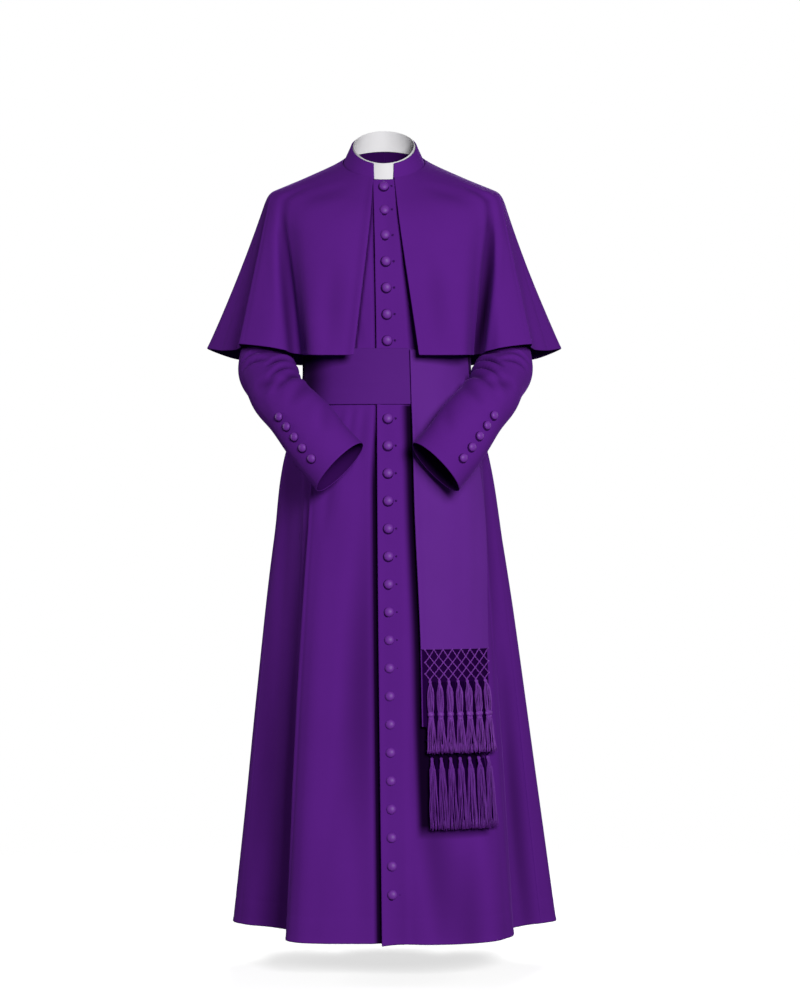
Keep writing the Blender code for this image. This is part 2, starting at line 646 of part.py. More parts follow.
def cape_surface(line, down):
    """The cape's outer face. line counts fold lines from the centre back, negative towards the
    wearer's right front edge; down is 0 at the neck, 1 at the hem."""
    line, down = np.broadcast_arrays(np.asarray(line, float), np.asarray(down, float))
    last = len(CAPE) - 1
    knots = np.arange(-last, last + 1)
    halves = zip(cape_lines(-1.0), cape_lines(1.0))
    neck, bend, hem, turn = (
        through(knots, np.concatenate([right, left[::-1][1:]]), line) for right, left in halves
    )
    before, after = turn * CAPE_BEND_AT, turn * (1 - CAPE_BEND_AT) * CAPE_TURN_BELOW
    start = bend - (bend - neck) * turn[..., None]
    end = bend + (hem - bend) * (turn * CAPE_TURN_BELOW)[..., None]
    t = np.clip((down - CAPE_BEND_AT + before) / (before + after), 0, 1)
    curved = mix(mix(start, bend, t), mix(bend, end, t), t)
    upper = mix(neck, bend, down / CAPE_BEND_AT)
    lower = mix(bend, hem, (down - CAPE_BEND_AT) / (1 - CAPE_BEND_AT))
    points = np.where((down < CAPE_BEND_AT - before)[..., None], upper, curved)
    return np.where((down > CAPE_BEND_AT + after)[..., None], lower, points)


def cape_panel(name, lines, seams, material):
    downs = np.array((0.0, 0.15, 0.26, 0.34, 0.40, 0.50, 0.66, 0.83, 1.0))
    line, down = np.meshgrid(lines, downs, indexing="ij")
    points, across = cape_surface(line, down), normals(cape_surface, line, down)
    return cloth(name, points, across, material, seams=seams)


def cape(material):
    last = len(CAPE) - 1
    seam = last - CAPE_SEAM_ROW
    steps = np.arange(0, CAPE_SEAM_ROW + 0.25, 0.5)
    cape_panel("cape_front_right", steps - last, "r", material)
    cape_panel("cape_front_left", steps + seam, "l", material)
    cape_panel("cape_back", np.arange(-seam, seam + 0.25, 0.5), "lr", material)


# ---------------------------------------------------------------- sash and falls

def sash_band(material):
    arounds = np.linspace(-1, 1, SASH_COLUMNS, endpoint=False)
    levels = np.linspace(SASH_BOTTOM_Z, SASH_TOP_Z, 4) - CHEST_Z
    around, level = np.meshgrid(arounds, levels, indexing="ij")
    points, across = body_surface(around, level), normals(body_surface, around, level)
    return cloth("sash_band", points, across, material, SASH_CLOTH, SASH_LIFT, wraps=True)


def around_at(x, z):
    """Where the body's left front stands at x, at height z."""
    low, high = np.zeros_like(x), np.full_like(x, 0.45)
    for _ in range(22):
        middle = (low + high) / 2
        short = skirt_and_waist(middle, z)[..., 0] < x
        low, high = np.where(short, middle, low), np.where(short, high, middle)
    return (low + high) / 2


def fall_surface(across, z, lift):
    """A point over the left front: across is 0 at the falls' inner edge and 1 at the outer."""
    across, z, lift = np.broadcast_arrays(*(np.asarray(n, float) for n in (across, z, lift)))
    inner = table(FALL, FALL_COLUMNS, "z", "inner_x", z)
    outer = table(FALL, FALL_COLUMNS, "z", "outer_x", z)
    around = around_at(inner + (outer - inner) * across, z)
    return lifted(body_surface, around, z - CHEST_Z, lift)


def fall(name, bottom_z, lift, material):
    heights = np.concatenate([np.linspace(bottom_z, -0.56, 7), (-0.51, -0.455, -0.40, FALL_TOP_Z)])
    across, z = np.meshgrid(np.linspace(0, 1, 10), heights, indexing="ij")
    outer, inner = fall_surface(across, z, lift), fall_surface(across, z, lift - SASH_CLOTH)
    return wall(name, outer, inner, material)


# ---------------------------------------------------------------- fringe

def fall_width(z):
    inner = table(FALL, FALL_COLUMNS, "z", "inner_x", z)
    return table(FALL, FALL_COLUMNS, "z", "outer_x", z) - inner


def net_knot(row, place):
    """A knot of the net, as (share of the width, distance down). place counts tassel pitches."""
    first, last = NET_SPAN
    across = first + (last - first) * (place + 0.5) / TASSELS
    return across, NET_STRIP + row * (NET_HEIGHT - NET_STRIP) / NET_ROWS


def shrunk(loop, amount, width):
    """A convex loop with every side moved in by amount; its x is a share of width."""
    points = [Vector((x * width, y)) for x, y in loop]
    moved = []
    for i, here in enumerate(points):
        a, b = (here - points[i - 1]).normalized(), (points[(i + 1) % len(points)] - here).normalized()
        bisector = Vector((-a.y - b.y, a.x + b.x))
        moved.append(here + bisector * (amount / (1 + a.dot(b))))
    return [(p.x / width, p.y) for p in moved]


def net_holes(width):
    """The net's gaps, row by row, each a loop of (share of the width, distance down)."""
    holes = []
    for row in range(1, NET_ROWS):
        even = row % 2 == 0
        for i in range(TASSELS if even else TASSELS - 1):
            place = i if even else i + 0.5
            left, right = net_knot(row, place - 0.5), net_knot(row, place + 0.5)
            tops = [net_knot(row - 1, place)]
            if row == 1:
                tops = [net_knot(0, place - 0.28), net_knot(0, place + 0.28)]
            holes.append(shrunk([*tops, right, net_knot(row + 1, place), left], NET_CORD / 2, width))
    return holes


def net_outline(width):
    half = NET_CORD / 2
    edge = half / width
    last = TASSELS - 1
    right = [(1.0, NET_STRIP + half / 2)]
    left = [(0.0, NET_STRIP + half / 2)]
    for row in range(1, NET_ROWS + 1):
        out = 0.0 if row % 2 else 0.5
        margin = edge * (1.6 if row % 2 else 1.0)
        right.append((net_knot(row, last + out)[0] + margin, net_knot(row, 0)[1]))
        left.append((net_knot(row, -out)[0] - margin, net_knot(row, 0)[1]))
    bottom = []
    for i in reversed(range(TASSELS)):
        across = net_knot(NET_ROWS, i)[0]
        bottom += [(across + edge, NET_HEIGHT + half), (across - edge, NET_HEIGHT + half)]
        if i:
            between, down = net_knot(NET_ROWS - 1, i - 0.5)
            bottom.append((between, down + 2 * half))
    top = [(i / (2 * TASSELS), 0.0) for i in range(2 * TASSELS + 1)]
    return top + right + bottom + left[::-1]


def inside(point, loop):
    """Whether a point lies inside a loop of points."""
    x, y = point
    crossed = 0
    for (x0, y0), (x1, y1) in zip(loop, loop[1:] + loop[:1]):
        if (y0 > y) != (y1 > y) and x < x0 + (y - y0) * (x1 - x0) / (y1 - y0):
            crossed += 1
    return crossed % 2 == 1


def flat_triangles(loops):
    """Triangles that fill the first loop and leave the others open, by their points' numbers."""
    points = [Vector(p) for loop in loops for p in loop]
    edges, start = [], 0
    for loop in loops:
        edges += [(start + i, start + (i + 1) % len(loop)) for i in range(len(loop))]
        start += len(loop)
    _, _, faces, originals, _, _ = delaunay_2d_cdt(points, edges, [], 0, 1e-7)
    kept = []
    for face in faces:
        corners = [originals[i][0] for i in face]
        middle = sum((points[i] for i in corners), Vector((0, 0))) / 3
        if inside(middle, loops[0]) and not any(inside(middle, hole) for hole in loops[1:]):
            kept.append(corners)
    return kept


def net(top_z, lift):
    """The net as a flat piece with holes, laid over the skirt in front of or behind a fall."""
    width = float(fall_width(np.array(top_z)))
    loops = [net_outline(width)] + net_holes(width)
    across, down = np.array([p for loop in loops for p in loop]).T
    made = bmesh.new()
    faces = [
        [made.verts.new(p) for p in fall_surface(across, top_z - SEAM_GAP - down, depth).tolist()]
        for depth in (lift, lift - NET_CLOTH)
    ]
    for triangle in flat_triangles([[(x * width, y) for x, y in loop] for loop in loops]):
        for face in faces:
            made.faces.new([face[i] for i in triangle])
    start = 0
    for loop in loops:
        for i in range(len(loop)):
            a, b = start + i, start + (i + 1) % len(loop)
            made.faces.new((faces[0][a], faces[0][b], faces[1][b], faces[1][a]))
        start += len(loop)
    return made


def tassel_rings(top_z, lift, profile, strands_to):
    """Rings of points for every tassel: the profile's rows, then its centre, then the axis end."""
    rows = list(profile) + [(profile[-1][0], 0.0, profile[-1][2]), (strands_to, 0.0, profile[-1][2])]
    down, radius, off = (np.array(n)[None, :, None] for n in zip(*rows))
    share = net_knot(NET_ROWS, np.arange(TASSELS))[0][:, None, None]
    turn = (2 * np.pi * np.arange(STRANDS) / STRANDS)[None, None, :]
    across = share + radius * np.cos(turn) / fall_width(top_z - down)
    return fall_surface(across, top_z - down, lift + off + radius * np.sin(turn))


def tassel(made, rings, radius, flare):
    """Adds a tassel: its head as stacked rings, with strands drawn down from its underside."""
    *head, centre, end = rings
    rows = [[made.verts.new(p) for p in row] for row in head]
    made.faces.new(rows[0])
    for upper, lower in zip(rows, rows[1:]):
        for i in range(STRANDS):
            j = (i + 1) % STRANDS
            made.faces.new((upper[i], upper[j], lower[j], lower[i]))
    middle = made.verts.new(centre[0])
    sectors = [
        made.faces.new((rows[-1][i], rows[-1][(i + 1) % STRANDS], middle)) for i in range(STRANDS)
    ]
    bmesh.ops.inset_individual(made, faces=sectors, thickness=radius * 0.07, use_even_offset=True)
    drawn = bmesh.ops.extrude_discrete_faces(made, faces=sectors)["faces"]
    hang = Vector(end[0] - centre[0])
    for number, face in enumerate(drawn):
        spread = (face.calc_center_median() - middle.co) * (flare - 1)
        for vert in face.verts:
            vert.co += hang * (1 - 0.02 * (number % 3)) + spread


def fringe(name, bottom_z, lift, shape, material):
    """The net and its tassels as one body."""
    profile, strands_to, flare = shape
    made = add_object(name, net(bottom_z, lift), material)
    top_z = bottom_z - SEAM_GAP - NET_HEIGHT
    tassels = bmesh.new()
    for rings in tassel_rings(top_z, lift - NET_CLOTH / 2, profile, strands_to):
        tassel(tassels, rings, profile[-1][1], flare)
    helper = add_object(name + "_tassels", tassels, material)
    helper.hide_render = True
    union = made.modifiers.new("Tassels", "BOOLEAN")
    union.operation = "UNION"
    union.object = helper
    return made


# ---------------------------------------------------------------- buttons

def button_mesh(name, radius, height, material):
    """A covered button, flat beneath and domed above, standing on z = 0."""
    made = bmesh.new()
    turns = [2 * math.pi * i / BUTTON_SIDES for i in range(BUTTON_SIDES)]
    rings = [
        [
            made.verts.new((radius * share * math.cos(t), radius * share * math.sin(t), height * rise))
            for t in turns
        ]
        for share, rise in BUTTON_PROFILE
    ]
    made.faces.new(rings[0])
    for lower, upper in zip(rings, rings[1:]):
        for i in range(BUTTON_SIDES):
            j = (i + 1) % BUTTON_SIDES
            made.faces.new((lower[i], lower[j], upper[j], upper[i]))
    crown = made.verts.new((0, 0, height))
    for i in range(BUTTON_SIDES):
        made.faces.new((rings[-1][i], rings[-1][(i + 1) % BUTTON_SIDES], crown))
    bmesh.ops.recalc_face_normals(made, faces=made.faces)
    mesh = bpy.data.meshes.new(name)
    made.to_mesh(mesh)
    made.free()
    mesh.materials.append(material)
    return mesh


def sew_on(name, mesh, cloth_tree, point, normal, radius):
    """Stands a button on the cloth at a point, just clear of every facet beneath it."""
    point, normal = Vector(point), Vector(normal)
    turned = normal.to_track_quat("Z", "Y")
    rim = [Vector((math.cos(t), math.sin(t), 0)) * radius for t in np.radians(np.arange(0, 360, 30))]
    heights = []
    for offset in [Vector()] + rim + [r / 2 for r in rim]:
        start = point + turned @ offset
        hit = cloth_tree.ray_cast(start + normal * 0.02, -normal, 0.04)[0]
        if hit:
            heights.append((hit - start).dot(normal))
    made = bpy.data.objects.new(name, mesh)
    bpy.context.scene.collection.objects.link(made)
    stand = point + normal * (max(heights) + SEAM_GAP)
    made.matrix_world = Matrix.Translation(stand) @ turned.to_matrix().to_4x4()


def tree_of(made):
    return BVHTree.FromPolygons(
        [v.co for v in made.data.vertices], [p.vertices for p in made.data.polygons]
    )


def front_buttons(panel, material):
    """The front buttons, spaced along the cloth from the neckline down."""
    levels = np.concatenate([np.linspace(1, 0, 120), np.linspace(0, HEM_Z - CHEST_Z, 900)[1:]])
    points = body_surface(np.zeros_like(levels), levels)
    lengths = np.cumsum(np.linalg.norm(np.diff(points, axis=0, prepend=points[:1]), axis=-1))
    pitches = [BUTTON_PITCH_CHEST] * BUTTONS_ON_CHEST + [BUTTON_PITCH] * BUTTON_COUNT
    along = BUTTON_FIRST + np.cumsum([0.0] + pitches)[:BUTTON_COUNT]
    mesh = button_mesh("front_button", BUTTON_RADIUS, BUTTON_HEIGHT, material)
    tree = tree_of(panel)
    for i, level in enumerate(np.interp(along, lengths, levels)):
        if i not in BUTTONS_UNDER_SASH:
            point = body_surface(0.0, level)
            normal = normals(body_surface, np.array(0.0), level)
            sew_on(f"button_front_{i + 1:02d}", mesh, tree, point, normal, BUTTON_RADIUS)


def cuff_buttons(side, sleeve, material):
    """The cuff buttons, spaced along the arm from the cuff's mouth up."""
    def surface(turn, along):
        return sleeve_surface(turn, along, side)

    turn = math.radians(CUFF_BUTTON_DEG)
    alongs = np.linspace(1, 0.5, 200)
    line = surface(turn, alongs)
    lengths = np.cumsum(np.linalg.norm(np.diff(line, axis=0, prepend=line[:1]), axis=-1))
    distances = CUFF_BUTTON_FROM_MOUTH + CUFF_BUTTON_PITCH * np.arange(CUFF_BUTTONS)
    which = "left" if side > 0 else "right"
    mesh = button_mesh(f"cuff_button_{which}", CUFF_BUTTON_RADIUS, CUFF_BUTTON_HEIGHT, material)
    tree = tree_of(sleeve)
    for i, along in enumerate(np.interp(distances, lengths, alongs)):
        normal = normals(surface, np.array(turn), along) * side
        name = f"button_cuff_{which}_{i + 1}"
        sew_on(name, mesh, tree, surface(turn, along), normal, CUFF_BUTTON_RADIUS)


# ---------------------------------------------------------------- the garment

def principled(name, colour, roughness):
    material = bpy.data.materials.new(name)
    material.use_nodes = True
    shader = material.node_tree.nodes["Principled BSDF"]
    shader.inputs["Base Color"].default_value = (*colour, 1.0)
    shader.inputs["Roughness"].default_value = roughness
    shader.inputs["Metallic"].default_value = 0.0
    return material


def clear_scene():
    for old in list(bpy.data.objects):
        bpy.data.objects.remove(old)


def main():
    clear_scene()
    wool = principled("purple_wool", PURPLE, 0.85)
    silk = principled("purple_sash", SASH_PURPLE, 0.70)
    linen = principled("white_insert", WHITE, 0.55)
    front_right(wool)
    front_buttons(front_left(wool), wool)
    back_panel("back_left", 1.0, wool)
    back_panel("back_right", -1.0, wool)
    collar(wool)
    collar_insert(linen)
    start, end = SLEEVE_SEAMS_DEG
    for side, which in ((1.0, "left"), (-1.0, "right")):
        top = sleeve_half(f"sleeve_top_{which}", side, (start, end), wool)
        sleeve_half(f"sleeve_under_{which}", side, (end, start + 360), wool)
        cuff_buttons(side, top, wool)
    cape(wool)
    sash_band(silk)
    fall("sash_fall_rear", REAR_FALL_BOTTOM_Z, REAR_FALL_LIFT, silk)
    fall("sash_fall_front", FRONT_FALL_BOTTOM_Z, FRONT_FALL_LIFT, silk)
    banded = (BANDED_TASSEL, BANDED_STRANDS_TO, BANDED_FLARE)
    plain = (PLAIN_TASSEL, PLAIN_STRANDS_TO, PLAIN_FLARE)
    fringe("sash_fringe_front", FRONT_FALL_BOTTOM_Z, FRONT_FALL_LIFT, banded, silk)
    fringe("sash_fringe_rear", REAR_FALL_BOTTOM_Z, REAR_FALL_LIFT, plain, silk)


main()
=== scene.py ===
"""The looks of a worn purple cassock with a shoulder cape and a fringed sash.

Metres, +Z up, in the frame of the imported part: the front faces -Y and the wearer's left is +X. The
cloth follows the same outlines as the part's solids, drawn finely, with its creases, sewn seams,
turned edges, buttonholes, covered buttons, knotted net and yarn tassels.
"""

import math

import bpy
import numpy as np
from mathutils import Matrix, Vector

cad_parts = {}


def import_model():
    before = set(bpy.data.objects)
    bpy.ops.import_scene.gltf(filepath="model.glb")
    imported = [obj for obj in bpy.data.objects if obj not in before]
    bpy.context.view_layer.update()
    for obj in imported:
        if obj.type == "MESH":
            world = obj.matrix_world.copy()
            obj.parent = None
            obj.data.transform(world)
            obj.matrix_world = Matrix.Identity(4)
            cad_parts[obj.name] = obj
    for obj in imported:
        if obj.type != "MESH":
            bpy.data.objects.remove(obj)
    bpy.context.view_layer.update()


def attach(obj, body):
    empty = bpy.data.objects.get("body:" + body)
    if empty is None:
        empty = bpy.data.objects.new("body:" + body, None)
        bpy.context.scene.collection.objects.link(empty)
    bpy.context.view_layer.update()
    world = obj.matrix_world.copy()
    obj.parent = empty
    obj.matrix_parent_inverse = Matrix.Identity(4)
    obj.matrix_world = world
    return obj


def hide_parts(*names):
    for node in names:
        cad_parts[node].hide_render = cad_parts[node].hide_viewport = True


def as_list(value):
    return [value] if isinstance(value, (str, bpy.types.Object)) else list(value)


# Cloth and seams
CLOTH = 0.0016  # wall of the body, sleeves and cape
SEAM_GAP = 0.0003  # left open between two pieces that are sewn together
OVERLAP_LIFT = CLOTH + SEAM_GAP  # how far the left front rides over the right front
EDGE_FROM_CENTRE = 0.0195  # from the button line to the left front's free edge
UNDERLAP = 0.022  # how far the right front runs on beneath, past the button line
SETTLES_OVER = 0.015  # width over which the left front comes down beyond the right front
YOKE_LENGTH = 0.16  # cloth from the chest ring up to the neckline, at the centre front
TOP_SHORT = 1.6  # the raised top edge stops short of the collar by this many times its lift

# Heights of the body's main rings
CHEST_Z = -0.190
WAIST_FOLD_Z = -0.447  # the skirt's folds start here, under the sash
HEM_Z = -1.420
FOLD_GROWTH = 0.85  # under 1, the folds deepen faster near the waist than near the hem
SECTION_POWER = 2.3  # 2 is an ellipse; more is squarer

# Body sections, smooth and without folds. right_x is the wearer's right side, left_x the left.
SECTION_COLUMNS = ("z", "right_x", "left_x", "centre_x", "front", "back")
SECTIONS = (
    (-1.420, -0.285, 0.3240, 0.0180, 0.2560, 0.2900),
    (-0.700, -0.208, 0.2230, 0.0095, 0.1700, 0.1800),
    (-0.544, -0.186, 0.1965, 0.0085, 0.1490, 0.1480),
    (-0.455, -0.159, 0.1730, 0.0080, 0.1320, 0.1100),
    (-0.400, -0.148, 0.1600, 0.0075, 0.1250, 0.0990),
    (-0.345, -0.149, 0.1580, 0.0070, 0.1260, 0.1030),
    (-0.270, -0.153, 0.1610, 0.0060, 0.1330, 0.1180),
    (-0.190, -0.158, 0.1640, 0.0045, 0.1350, 0.1250),
)

# The hem's outline, a row for each fold line. around is the share of a half turn from the centre
# front (0) to the centre back (1), negative on the wearer's right.
HEM_COLUMNS = ("around", "x", "y")
HEM = (
    (-0.950, -0.045, 0.276),
    (-0.900, -0.080, 0.236),  # back pleat
    (-0.845, -0.118, 0.264),
    (-0.785, -0.168, 0.262),  # back flute
    (-0.725, -0.200, 0.214),
    (-0.670, -0.214, 0.158),  # hollow behind the side
    (-0.610, -0.262, 0.125),
    (-0.545, -0.285, 0.062),  # side flute
    (-0.480, -0.258, 0.008),
    (-0.420, -0.205, -0.032),
    (-0.360, -0.160, -0.100),  # hollow behind the front panel
    (-0.320, -0.168, -0.160),
    (-0.285, -0.1755, -0.205),  # front panel's right ridge
    (-0.240, -0.158, -0.236),
    (-0.180, -0.118, -0.251),
    (-0.085, -0.055, -0.255),
    (0.000, 0.018, -0.256),  # centre front
    (0.075, 0.082, -0.268),
    (0.160, 0.145, -0.257),
    (0.240, 0.193, -0.228),
    (0.320, 0.222, -0.182),
    (0.385, 0.237, -0.130),  # front panel's left ridge
    (0.415, 0.231, -0.088),
    (0.445, 0.233, -0.048),  # hollow behind the front panel
    (0.475, 0.262, -0.008),
    (0.505, 0.300, 0.030),
    (0.545, 0.325, 0.068),  # side flute
    (0.595, 0.300, 0.125),
    (0.655, 0.250, 0.158),  # hollow behind the side
    (0.715, 0.238, 0.216),
    (0.780, 0.204, 0.264),  # back flute
    (0.845, 0.150, 0.266),
    (0.900, 0.112, 0.240),  # back pleat
    (0.950, 0.078, 0.278),
    (1.000, 0.018, 0.290),  # centre back
)

# Neckline and collar: two tilted rings, the lower one sewn to the body
RING_COLUMNS = ("half_width", "front", "back", "side_z", "tilt")  # tilt is the rise per metre back
NECK_RING = (0.0765, 0.092, 0.068, 0.0025, 0.42)
COLLAR_TOP_RING = (0.0610, 0.085, 0.060, 0.0355, 0.51)
COLLAR_CLOTH = 0.0022
COLLAR_BELOW = 0.02  # the collar starts this share of its height above the neckline
COLLAR_AIM = 0.15  # its inner face lies towards an axis at this share of each point's depth
COLLAR_OPENING_DEG = (14.0, 18.5)  # from the centre front to each end, at its foot and at its top
INSERT_CLOTH = 0.0010
INSERT_ABOVE = 1.085  # the white band stands this share of the collar's height
INSERT_BELOW = 0.03  # and starts this share above the neckline

SIDES = (("left", 1.0), ("right", -1.0))  # the wearer's, and the sign of x there

# Shoulder and armhole, on the wearer's right; the left is mirrored
SHOULDER_TIP = (0.2045, 0.006, -0.0560)
ARMHOLE_BOTTOM_Z = CHEST_Z
ARMHOLE_HALF_DEPTH = 0.062
ARMHOLE_SCOOP = 0.010  # how far its front and back curve in towards the body
NECK_SHARE = 0.42  # of the way from the centre line to the armhole; the shoulder seam is the rest

# Sleeve rings along the arm, for the wearer's right; mid_x is the line that the left one mirrors in
SLEEVE_COLUMNS = ("x", "y", "z", "outer", "front", "lean_deg", "mid_x")
SLEEVE = (
    (-0.1955, 0.005, -0.1480, 0.0500, 0.0550, 60.0, 0.0020),
    (-0.2030, 0.004, -0.2050, 0.0360, 0.0500, 27.0, 0.0020),
    (-0.2095, 0.003, -0.2600, 0.0410, 0.0500, 4.0, 0.0025),
    (-0.2160, 0.000, -0.3300, 0.0480, 0.0530, 0.0, 0.0030),
    (-0.2180, -0.030, -0.3800, 0.0520, 0.0540, -6.0, 0.0030),
    (-0.2040, -0.096, -0.4185, 0.0520, 0.0530, -22.0, 0.0024),
    (-0.1735, -0.156, -0.4560, 0.0535, 0.0510, -36.0, 0.0036),
    (-0.1390, -0.194, -0.4930, 0.0565, 0.0490, -44.0, 0.0058),
    (-0.1110, -0.216, -0.5300, 0.0575, 0.0480, -46.0, 0.0070),
    (-0.0785, -0.230, -0.5665, 0.0590, 0.0470, -46.0, 0.0080),
)
SLEEVE_SEAMS_DEG = (22.5, 202.5)  # the top sleeve lies between them, on the front of the arm
CUFF_BUTTON_DEG = 64.0
CUFF_BUTTONS = 5
CUFF_BUTTON_PITCH = 0.0265
CUFF_BUTTON_FROM_MOUTH = 0.035

# Shoulder cape, a row for each fold line from the front edge to the centre back. Each line starts
# on the neckline at neck_deg, turns down at the yoke point and ends at the hem point.
CAPE_COLUMNS = (
    "neck_deg", "yoke_right_x", "yoke_left_x", "yoke_y", "yoke_z",
    "hem_right_x", "hem_left_x", "hem_y", "hem_z", "turn",
)
CAPE = (
    (15.0, -0.0250, 0.0290, -0.1500, -0.1180, -0.0545, 0.0652, -0.1700, -0.3620, 0.45),
    (31.0, -0.0850, 0.0880, -0.1440, -0.1120, -0.0980, 0.1120, -0.1680, -0.3620, 0.45),
    (47.0, -0.1480, 0.1500, -0.1160, -0.0940, -0.1330, 0.1490, -0.1560, -0.3610, 0.35),
    (60.0, -0.1870, 0.1930, -0.0800, -0.0750, -0.1540, 0.1710, -0.0860, -0.3570, 0.25),
    (69.0, -0.2010, 0.2060, -0.0620, -0.0660, -0.2030, 0.2150, -0.1150, -0.3460, 0.20),
    (77.0, -0.2110, 0.2150, -0.0420, -0.0590, -0.2645, 0.2710, -0.0840, -0.3385, 0.12),
    (83.5, -0.2160, 0.2195, -0.0180, -0.0550, -0.2710, 0.2775, -0.0280, -0.3450, 0.10),
    (90.0, -0.2175, 0.2205, 0.0050, -0.0535, -0.3050, 0.3070, 0.0180, -0.3450, 0.10),
    (97.0, -0.2165, 0.2195, 0.0300, -0.0555, -0.3340, 0.3345, 0.0740, -0.3395, 0.12),
    (106.0, -0.2080, 0.2100, 0.0620, -0.0660, -0.2860, 0.2900, 0.1200, -0.3560, 0.25),
    (118.0, -0.1840, 0.1860, 0.0980, -0.0850, -0.2380, 0.2420, 0.1560, -0.3600, 0.40),
    (133.0, -0.1310, 0.1340, 0.1250, -0.1000, -0.1800, 0.1850, 0.2000, -0.3640, 0.50),
    (152.0, -0.0700, 0.0740, 0.1430, -0.1060, -0.1050, 0.1100, 0.1720, -0.3680, 0.50),
    (180.0, 0.0000, 0.0000, 0.1460, -0.1080, 0.0020, 0.0020, 0.2130, -0.3700, 0.50),
)
CAPE_NECK_LIFT = 0.0027
CAPE_NECK_RISE = 0.10  # share of the collar's height at which the cape's neck edge is sewn
CAPE_SEAM_ROW = 7  # the shoulder and side seams run along this fold line
CAPE_BEND_AT = 0.36  # share of a fold line's length at the yoke point
CAPE_TURN_BELOW = 0.6  # the rounding reaches this much less far below the yoke than above

# Buttons down the front, measured along the cloth from the neckline
BUTTON_FIRST = 0.016
BUTTON_PITCH_CHEST = 0.0482
BUTTONS_ON_CHEST = 9  # steps at the chest's pitch, before the skirt's pitch starts
BUTTON_PITCH = 0.0508
BUTTON_COUNT = 27
BUTTONS_UNDER_SASH = (7, 8)
YOKE_STEPS, FRONT_STEPS, FOREARM_STEPS = 120, 900, 200  # for measuring along the cloth
BUTTON_RADIUS = 0.0090
BUTTON_HEIGHT = 0.0062
CUFF_BUTTON_RADIUS = 0.0080
CUFF_BUTTON_HEIGHT = 0.0056

# Sash: a band round the waist and two falls that hang from its top, one over the other
SASH_CLOTH = 0.0016
SASH_TOP_Z = -0.349
SASH_BOTTOM_Z = -0.451
SASH_LIFT = 0.0046  # outer face, above the body's surface
REAR_FALL_LIFT = 0.0075
FRONT_FALL_LIFT = 0.0108
FALL_COLUMNS = ("z", "inner_x", "outer_x")  # the edge near the buttons and the edge near the side
FALL = (
    (-1.260, 0.0790, 0.2000),
    (-1.035, 0.0700, 0.1890),
    (-0.897, 0.0670, 0.1830),
    (-0.627, 0.0550, 0.1740),
    (-0.517, 0.0520, 0.1610),
    (-0.349, 0.0470, 0.1440),
)
FALLS_WITHIN, HALVINGS = 0.45, 22  # the falls hang before this place round the body; how it is found
FALL_TOP_Z = -0.351
FRONT_FALL_BOTTOM_Z = -0.897
REAR_FALL_BOTTOM_Z = -1.035

# Fringe: a knotted net under each fall and a tassel under each of its lowest knots
TASSELS = 7
NET_HEIGHT = 0.054
NET_STRIP = 0.0030
NET_SPAN = (0.055, 0.995)  # the shares of the fall's width between which the knots are spaced
NET_ROWS = 5  # half diamonds, one above the other
NET_CLOTH = 0.0018
# Tassel axes: distance down from the net, and how far they stand off the fall
TASSEL_COLUMNS = ("down", "off")
BANDED_TASSEL = ((-0.0015, 0.0), (0.0050, 0.0020), (0.0140, 0.0050), (0.0440, 0.0058), (0.0680, 0.0058))
BANDED_STRANDS_TO = 0.131
PLAIN_TASSEL = ((-0.0015, 0.0), (0.0060, 0.0018), (0.0120, 0.0030), (0.0240, 0.0040))
PLAIN_STRANDS_TO = 0.128

# How the yarns lie in each tassel's head: distance down from the net, and radius
BANDED_HEAD = (
    (-0.0015, 0.0017),
    (0.0060, 0.0020),
    (0.0120, 0.0026),
    (0.0165, 0.0044),
    (0.0215, 0.0053),
    (0.0400, 0.0054),
    (0.0540, 0.0052),
    (0.0590, 0.0046),
    (0.0630, 0.0036),
    (0.0680, 0.0034),
)
PLAIN_HEAD = (
    (-0.0015, 0.0016),
    (0.0050, 0.0020),
    (0.0110, 0.0026),
    (0.0170, 0.0036),
    (0.0240, 0.0044),
)
BANDED_END_RADIUS = 0.0082
PLAIN_END_RADIUS = 0.0074
# Bindings: middle's distance down, half the height, and radius
BANDED_BINDINGS = ((0.0040, 0.0030, 0.0027), (0.0625, 0.0042, 0.0056), (0.0705, 0.0019, 0.0045))
PLAIN_BINDINGS = ((0.0040, 0.0034, 0.0028),)
NET_YARN = 0.00082  # radius of each of a cord's two plies
NET_TURNS = 1.25  # of the plies round each other between two knots
NET_PLY_ASIDE, NET_PLY_AHEAD = 0.0045, 0.00055  # how far they stray: a share of the width, metres
NET_KNOT = 0.0021
KNOT_FLATNESS = 0.75
KNOT_ENDS = 0.98  # share of its height at which a knot's open ends are
YARN_RADIUS = 0.00062
YARN_WAVE = 0.0005
YARN_STRAY = 0.3  # from its even place round the tassel, as a share of the space between two
YARN_TURNS = (0.8, 1.8)  # of a yarn's wave along it, fewest and most
TASSEL_FLATNESS = 0.72  # a tassel's depth against its width
SKIRT_SPREADS = 0.8  # under 1, the yarns spread most near the head
BINDING_FLATNESS = 0.85
BINDING_ENDS = 0.55  # a binding's radius at its ends, as a share of its middle's
BINDING_WEAVE = 0.004  # metres of thread's pattern for each radian round it
# A tassel's yarns: how many in its head, in its skirt and inside it, and how uneven their ends are
HEAD_YARNS, HEAD_FROM = 24, 0.0015
SKIRT_YARNS, SKIRT_RAGGED = 26, 0.0018
INNER_YARNS, INNER_RAGGED, INNER_SHARE = 16, 0.0026, 0.55
ROOT_ABOVE = 0.003  # the skirt's yarns start this far up inside the head
